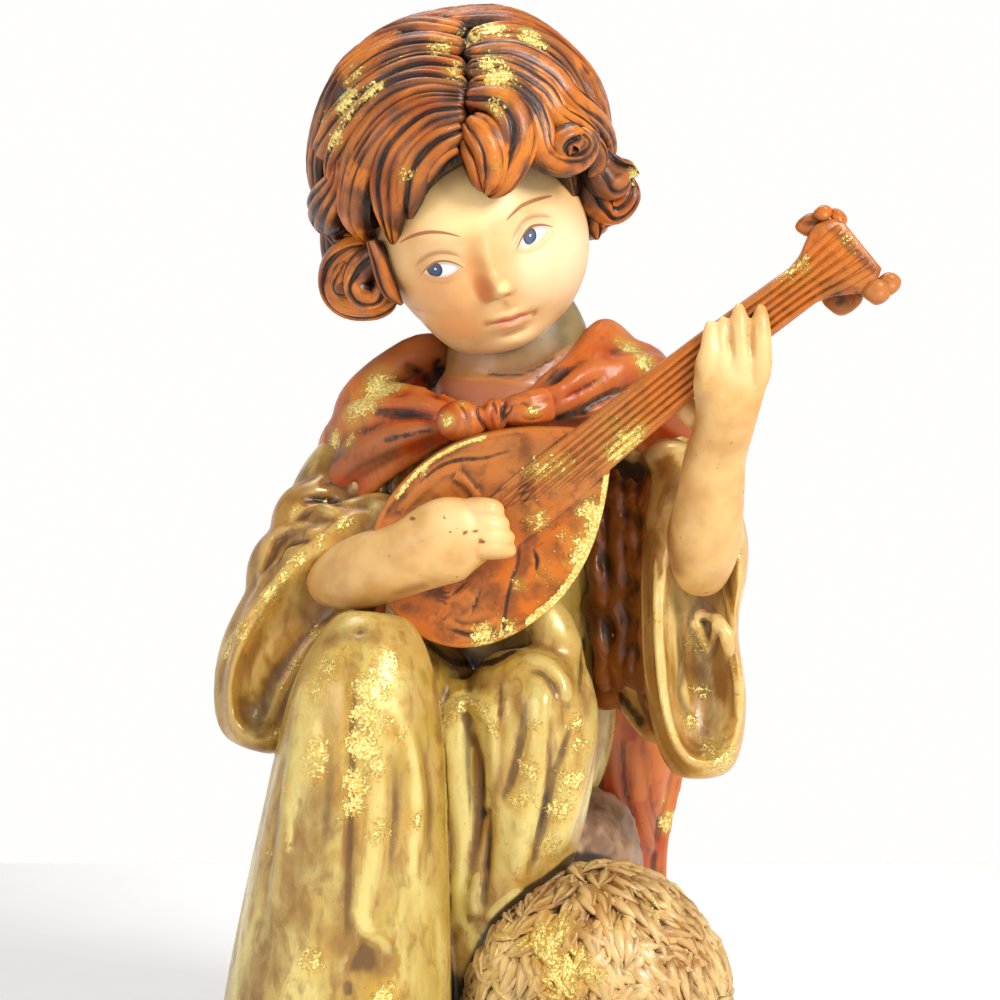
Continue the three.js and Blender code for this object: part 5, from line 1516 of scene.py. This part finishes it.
def nookMap():
    # how much surface lies close round each place, from all pieces together: the painted shade of the nooks
    low, cell = np.array(nookShadeSet["low"]), nookShadeSet["cell"]
    size = (np.array(nookShadeSet["size"]) / cell).astype(int)
    grid = np.zeros(size, np.float32)
    for skin in pieces.values():
        v = skin.verts
        t = skin.triangles
        area = 0.5 * np.linalg.norm(np.cross(v[t[:, 1]] - v[t[:, 0]], v[t[:, 2]] - v[t[:, 0]]), axis=1)
        spots = v[t].mean(1)
        i = np.clip(((spots - low) / cell).astype(int), 0, size - 1)
        np.add.at(grid, (i[:, 0], i[:, 1], i[:, 2]), area)
    grid = np.minimum(grid, 3 * cell * cell)
    reach = 2  # cells to each side
    for _ in range(3):
        for axis in range(3):
            total = np.cumsum(grid, axis=axis, dtype=np.float32)
            ahead = np.roll(total, -reach, axis)
            behind = np.roll(total, reach + 1, axis)
            grid = (ahead - behind) / (2 * reach + 1)
    return grid / (cell * cell)


# how dark a carved groove is painted: wash and painted shade
creaseShadeShare = {"bow": 1.2, "lute": 0.85, "leftArm": 1.0, "rightArm": 0.4}


def dress():
    # what the paint follows on each piece: painted shade in nooks and furrows with wash, painted highlights
    # on ridges, leaf, and stains with painted shade and highlights
    grid = nookMap()
    print("nooks measured")
    for name, skin in pieces.items():
        spots = skin.verts + skin.normals() * nookShadeSet["ahead"]
        i = np.clip(((spots - nookShadeSet["low"]) / nookShadeSet["cell"]).astype(int), 0, np.array(grid.shape) - 1)
        near = np.maximum(grid[i[:, 0], i[:, 1], i[:, 2]], 0)
        skin.nook = skin.spread(skin.spread(near))
        fine, coarse = skin.hollows()
        skin.furrow = fine / 0.12 + coarse / 0.6
        middle, most = np.percentile(skin.furrow, [50, 97])
        if name != "face":
            skin.furrow = (skin.furrow - middle) / max(most - middle, 1.0)
        # carved grooves are painted darker, as wash and painted shade, and raised folds lighter, as a painted
        # highlight
        skin.furrow += creaseShadeShare.get(name, 0.6) * skin.crease - 0.5 * skin.crest
        if hasattr(skin, "shade"):
            skin.furrow = 0.25 * np.clip(skin.furrow, -1, 1) + skin.shade
        subject = "lamb" if name.startswith("lamb") else name
        skin.leaf = placed([([(x, y)], r, k) for x, y, r, k in leafSpots.get(subject, ())]
                          + leafLines.get(subject, []), skin)
        skin.stain = placed(stainAndShadeStrokes.get(subject, ()), skin)
        print(name, len(skin.triangles), "triangles")


def pieceFrom(name, skin, material):
    thing = meshOf(name, skin.verts, skin.faces)
    for key in ("furrow", "nook", "leaf", "stain", "facing"):
        values = getattr(skin, key, None)
        if values is not None:
            layer = thing.data.attributes.new(key, "FLOAT", "POINT")
            layer.data.foreach_set("value", np.ascontiguousarray(values, np.float32))
    if getattr(skin, "uv", None) is not None:
        layer = thing.data.uv_layers.new(name="front")
        loops = np.empty(len(thing.data.loops), np.int32)
        thing.data.loops.foreach_get("vertex_index", loops)
        layer.data.foreach_set("uv", skin.uv[loops].astype(np.float32).ravel())
    thing.data.materials.append(material)
    thing.data.shade_smooth()
    return thing


fleeceSet = {"gap": 2.15, "density": 30.0, "size": 1.0, "seed": 11, "hooks": (1.4, -1.2, 0.9, -0.7, 0.3)}


def tuftMesh(bend, seed):
    # one small wisp of wool: its root is sunk, it lies along +X, swings aside and back, and ends in a tip
    rng = np.random.default_rng(seed)
    spine = np.array([(-3.0, 0.5 * bend, -1.3), (-0.8, -0.5 * bend, 0.2), (1.8, -0.4 * bend, 0.9),
                      (4.2, 0.7 * bend, 0.9), (6.2, 2.2 * bend, 0.1)])
    spine[1:] += rng.uniform(-0.2, 0.2, (4, 3))
    across, thick = (1.1, 2.0, 1.9, 1.0, 0.05), (0.7, 1.1, 1.1, 0.7, 0.05)
    a = np.radians([0, 42, 68, 100, 140, 180, 270])
    high = np.array([0, 0.75, 0.35, 1.0, 0.6, 0, -0.8])  # a ridge and a groove run along its back
    rings = []
    for t in np.linspace(0, 1, 6):
        c, w, h = curveAt(spine, t), curveAt(across, t), curveAt(thick, t)
        run = unit(curveAt(spine, min(t + 0.01, 1)) - curveAt(spine, max(t - 0.01, 0)))
        wide = unit(np.cross([0, 0, 1.0], run))
        rings.append(c + (w * np.cos(a))[:, None] * wide + (h * high)[:, None] * np.cross(run, wide))
    return closeRings(np.array(rings))


def fleeceTree(material):
    tree = bpy.data.node_groups.new("fleece", "GeometryNodeTree")
    face = tree.interface
    face.new_socket("Geometry", in_out="INPUT", socket_type="NodeSocketGeometry")
    face.new_socket("Geometry", in_out="OUTPUT", socket_type="NodeSocketGeometry")
    kinds = {"Tufts": "Collection", "Gap": "Float", "Density": "Float", "Size": "Float", "Seed": "Int"}
    for label, kind in kinds.items():
        face.new_socket(label, in_out="INPUT", socket_type="NodeSocket" + kind)
    new, link = tree.nodes.new, tree.links.new
    inp, out = new("NodeGroupInput"), new("NodeGroupOutput")
    scatter = new("GeometryNodeDistributePointsOnFaces")
    scatter.distribute_method = "POISSON"
    link(inp.outputs["Geometry"], scatter.inputs["Mesh"])
    link(inp.outputs["Gap"], scatter.inputs["Distance Min"])
    link(inp.outputs["Density"], scatter.inputs["Density Max"])
    link(inp.outputs["Seed"], scatter.inputs["Seed"])
    flow = new("GeometryNodeInputNamedAttribute")
    flow.data_type = "FLOAT_VECTOR"
    flow.inputs["Name"].default_value = "flow"
    sample = new("GeometryNodeSampleNearestSurface")
    sample.data_type = "FLOAT_VECTOR"
    link(inp.outputs["Geometry"], sample.inputs["Mesh"])
    link(flow.outputs[0], sample.inputs["Value"])
    up = new("FunctionNodeAlignRotationToVector")
    up.axis = "Z"
    link(scatter.outputs["Normal"], up.inputs["Vector"])
    along = new("FunctionNodeAlignRotationToVector")
    along.axis, along.pivot_axis = "X", "Z"
    link(up.outputs[0], along.inputs["Rotation"])
    link(sample.outputs[0], along.inputs["Vector"])
    spin = new("FunctionNodeRandomValue")
    spin.data_type = "FLOAT"
    spin.inputs[2].default_value, spin.inputs[3].default_value = -0.8, 0.8
    turn = new("FunctionNodeAxisAngleToRotation")
    turn.inputs["Axis"].default_value = (0, 0, 1)
    link(spin.outputs[1], turn.inputs["Angle"])
    whole = new("FunctionNodeRotateRotation")
    whole.rotation_space = "LOCAL"
    link(along.outputs[0], whole.inputs["Rotation"])
    link(turn.outputs[0], whole.inputs["Rotate By"])
    vary = new("FunctionNodeRandomValue")
    vary.data_type = "FLOAT"
    vary.inputs[2].default_value, vary.inputs[3].default_value = 0.55, 1.5
    link(inp.outputs["Seed"], vary.inputs["Seed"])
    grow = new("ShaderNodeMath")
    grow.operation = "MULTIPLY"
    link(vary.outputs[1], grow.inputs[0])
    link(inp.outputs["Size"], grow.inputs[1])
    source = new("GeometryNodeCollectionInfo")
    link(inp.outputs["Tufts"], source.inputs["Collection"])
    source.inputs["Separate Children"].default_value = True
    source.inputs["Reset Children"].default_value = True
    put = new("GeometryNodeInstanceOnPoints")
    link(scatter.outputs["Points"], put.inputs["Points"])
    link(source.outputs[0], put.inputs["Instance"])
    put.inputs["Pick Instance"].default_value = True
    link(whole.outputs[0], put.inputs["Rotation"])
    link(grow.outputs[0], put.inputs["Scale"])
    both = new("GeometryNodeJoinGeometry")
    link(put.outputs[0], both.inputs[0])
    link(inp.outputs["Geometry"], both.inputs[0])
    real = new("GeometryNodeRealizeInstances")
    link(both.outputs[0], real.inputs[0])
    coat = new("GeometryNodeSetMaterial")
    coat.inputs["Material"].default_value = material
    link(real.outputs[0], coat.inputs["Geometry"])
    link(coat.outputs[0], out.inputs[0])
    return tree


def growFleece(material):
    # tufts over the body, tips away from the back of the lamb and downwards
    skin = pieces["lambBody"]
    thing = meshOf("fleeceBody", skin.verts, skin.faces)
    x, y, z = lambSet["centre"]
    away = (skin.verts - [x - 12, y + 10, z + 10]) / 30
    swirl = np.sin(skin.verts @ [0.16, 0.1, -0.14] + 1) + 0.7 * np.sin(skin.verts @ [-0.27, 0.12, 0.22])
    flow = np.stack([1.1 * away[:, 0] + 0.45 * swirl, away[:, 1] * 0.6, -0.7 + 0.35 * swirl], 1)
    layer = thing.data.attributes.new("flow", "FLOAT_VECTOR", "POINT")
    layer.data.foreach_set("vector", flow.astype(np.float32).ravel())
    group = bpy.data.collections.new("tufts")
    tufts = [meshOf("tuft" + str(k), *tuftMesh(hook, k)) for k, hook in enumerate(fleeceSet["hooks"])]
    for tuft in tufts:
        bpy.context.scene.collection.objects.unlink(tuft)
        group.objects.link(tuft)
    grow = thing.modifiers.new("fleece", "NODES")
    grow.node_group = fleeceTree(material)
    values = {"Tufts": group, "Gap": fleeceSet["gap"] * mm, "Density": fleeceSet["density"] * 1e5,
              "Size": fleeceSet["size"], "Seed": fleeceSet["seed"]}
    for item in grow.node_group.interface.items_tree:
        if item.in_out == "INPUT" and item.name in values:
            grow[item.identifier] = values[item.name]
    applied(thing)
    verts, faces = arraysOf(thing)
    bpy.data.objects.remove(thing)
    # painted shade on the roots and edges of every tuft and on the body between them, a painted highlight on
    # each ridge
    alongTuft = np.array([1.5, 0.8, 0.2, -0.2, -0.4, -0.1])
    roundTuft = np.array([1.3, -0.1, 0.5, -0.6, -0.3, 1.3, 1.8])
    pattern = np.append(alongTuft[:, None] + roundTuft, [1.5, 0.2])
    count = (len(verts) - len(skin.verts)) // len(pattern)
    rng = np.random.default_rng(fleeceSet["seed"])
    shade = (pattern + rng.uniform(-0.35, 0.35, (count, 1))).ravel()
    under = np.full(len(skin.verts), 1.8)
    bodyFirst = np.abs(verts[:len(under)] - skin.verts).max() < 0.01
    for tuft in tufts:
        bpy.data.objects.remove(tuft)
    bpy.data.collections.remove(group)
    verts[:, 2] = np.maximum(verts[:, 2], 1.0)
    pieces["lambBody"] = Skin(verts, faces)
    pieces["lambBody"].shade = np.concatenate([under, shade] if bodyFirst else [shade, under])
    print("fleece", count, "tufts")


lightSet = {
    "low": 1.0,  # the room below and at eye height
    "high": 0.32,  # the room overhead
    "key": ((0.62, -0.72, 0.78), 0.38, 13.0),  # place, width, power
    "left": ((-0.62, -0.62, 0.4), 0.35, 1.5),
    "top": ((-0.1, 0.25, 0.9), 0.5, 4.0),
}


def makeLight():
    world = bpy.data.worlds.new("room")
    world.use_nodes = True
    nodes, link = world.node_tree.nodes, world.node_tree.links.new
    split = nodes.new("ShaderNodeSeparateXYZ")
    link(nodes.new("ShaderNodeTexCoord").outputs["Generated"], split.inputs[0])
    fade = nodes.new("ShaderNodeMapRange")
    for socket, value in zip(fade.inputs[1:5], (0.1, 0.4, lightSet["low"], lightSet["high"])):
        socket.default_value = value
    link(split.outputs[2], fade.inputs[0])
    back = nodes["Background"]
    back.inputs[0].default_value = (1.0, 0.995, 0.985, 1)
    link(fade.outputs[0], back.inputs[1])
    bpy.context.scene.world = world
    for name in ("key", "left", "top"):
        place, width, power = lightSet[name]
        lamp = bpy.data.lights.new(name, "AREA")
        lamp.size = width
        lamp.energy = power
        thing = bpy.data.objects.new(name, lamp)
        thing.location = place
        thing.rotation_euler = (Vector((0, 0, 0.16)) - Vector(place)).to_track_quat("-Z", "Y").to_euler()
        bpy.context.scene.collection.objects.link(thing)


floorSet = {"half": 400, "depthShare": 0.885, "edge": 2, "thick": 6, "gap": 0.05}


def makeFloor():
    half, inner, thick = floorSet["half"], floorSet["half"] - floorSet["edge"], floorSet["thick"]
    rims = ((inner, -floorSet["gap"]), (half, -1), (half, 1 - thick), (inner, -thick))
    corners = ((-1, -1), (1, -1), (1, 1), (-1, 1))
    rings = np.array([[(x * w, y * w * floorSet["depthShare"], z) for x, y in corners] for w, z in rims])
    floor = meshOf("floor", *closeRings(rings))
    f = Finish("palePaper")
    tint = f.mixed(f.noise(30, 3, 0.5), (0.93, 0.92, 0.9, 1), (0.97, 0.965, 0.95, 1))
    f.set(Base_Color=tint, Roughness=0.7)
    f.bump(f.noise(2, 3, 0.6), 0.1, 0.3)
    floor.data.materials.append(f.stuff)


makeCamera()
makeLight()
makeFloor()
for step in (makeGround, makeRobe, makeSleeves, makeCloak, makeFace, makeHair, makeLute, makeArms, makeLamb):
    step()
    print(step.__name__, "done")

cloth = {"metal": 0.12, "rough": (0.24, 0.4), "specks": 0.3, "glaze": 0.4}
finishes = {
    "ground": paintedFinish(
        "groundPaint", paint(150, 114, 80), paint(190, 150, 120), paint(96, 66, 42), leafSpare=0.76,
        rough=(0.4, 0.6), coat=0.1),
    "robe": paintedFinish(
        "robePaint", paint(174, 140, 54), paint(216, 196, 118), paint(132, 88, 34),
        washAndShadeColour=paint(92, 60, 26), sheen=paint(184, 148, 74), **cloth),
    # the right sleeve is painted darker and the left one lighter than the same cloth on the robe: painted
    # shade and painted light
    "rightSleeve": paintedFinish(
        "shadedSleevePaint", paint(158, 116, 44), paint(206, 176, 104), paint(116, 72, 28),
        washAndShadeColour=paint(82, 50, 22), sheen=paint(172, 124, 56), **cloth),
    "leftSleeve": paintedFinish(
        "litSleevePaint", paint(198, 146, 58), paint(234, 204, 130), paint(140, 88, 30),
        washAndShadeColour=paint(92, 54, 22), sheen=paint(204, 152, 80), **cloth),
    "cloak": paintedFinish(
        "cloakPaint", paint(166, 58, 4), paint(196, 108, 46), paint(104, 72, 50), leafSpare=0.68,
        rough=(0.3, 0.46), washAndShadeColour=paint(54, 30, 16), shine=0.3, coat=0.12),
    "lining": paintedFinish(
        "liningPaint", paint(96, 48, 10), paint(150, 82, 24), paint(52, 28, 8), leafSpare=0.78,
        rough=(0.24, 0.4), washAndShadeColour=paint(34, 18, 6), nookShadeAt=(0.5, 0.9)),
    "hair": paintedFinish(
        "hairPaint", paint(134, 54, 6), paint(206, 118, 38), paint(66, 32, 12), washAndShadeShare=0.97, leafSpare=0.65,
        rough=(0.2, 0.36), washAndShadeColour=paint(28, 16, 8), specks=0.15, coat=0.1, grain=0.8, shine=0.3,
        nookShadeAt=(0.5, 0.9), furrowAt=(-0.15, 0.6), sheen=paint(108, 62, 38), strands=(1.6, 0.2, 1),
        patchSize=14, glaze=0.3),
    "lute": paintedFinish(
        "lutePaint", paint(194, 98, 12), paint(176, 106, 46), paint(112, 56, 16), leafSpare=0.65,
        rough=(0.28, 0.44), washAndShadeColour=paint(46, 26, 12), glaze=0.4, shine=0.3, coat=0.12,
        streak=(1, 1, 1), grain=0.8),
    "lambBody": paintedFinish(
        "fleecePaint", paint(166, 116, 56), paint(226, 192, 126), paint(122, 74, 26), washAndShadeShare=0.97,
        leafSpare=0.67, rough=(0.34, 0.5), washAndShadeColour=paint(70, 42, 18), grain=1.3,
        nookShadeAt=(0.9, 1.4), furrowAt=(0.0, 1.1), glaze=0.6),
    "face": faceFinish(),
    # the neck is painted as darker, greyer skin: painted shade under the chin; below the seam the tunic's own
    # colour
    "neck": skinFinish("shadedNeckPaint", paint(104, 86, 48), paint(138, 116, 70), paint(166, 100, 64)),
}
finishes["bow"] = finishes["cloak"]
finishes["lambFace"] = finishes["lambBody"]
skinPaint = skinFinish("skinPaint", paint(200, 150, 82), paint(218, 174, 106))
for name in ("rightArm", "leftArm", "foot"):
    finishes[name] = skinPaint

growFleece(finishes["lambBody"])
dress()
pieces["face"].facing = np.clip(-moved(pieces["face"].verts, headBack)[:, 1] / 6, 0, 1)  # 0 behind the ears
for name, skin in pieces.items():
    thing = pieceFrom(name, skin, finishes[name])
    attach(thing, "root")
    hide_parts("figurine")
bpy.context.scene.view_settings.view_transform = "Standard"
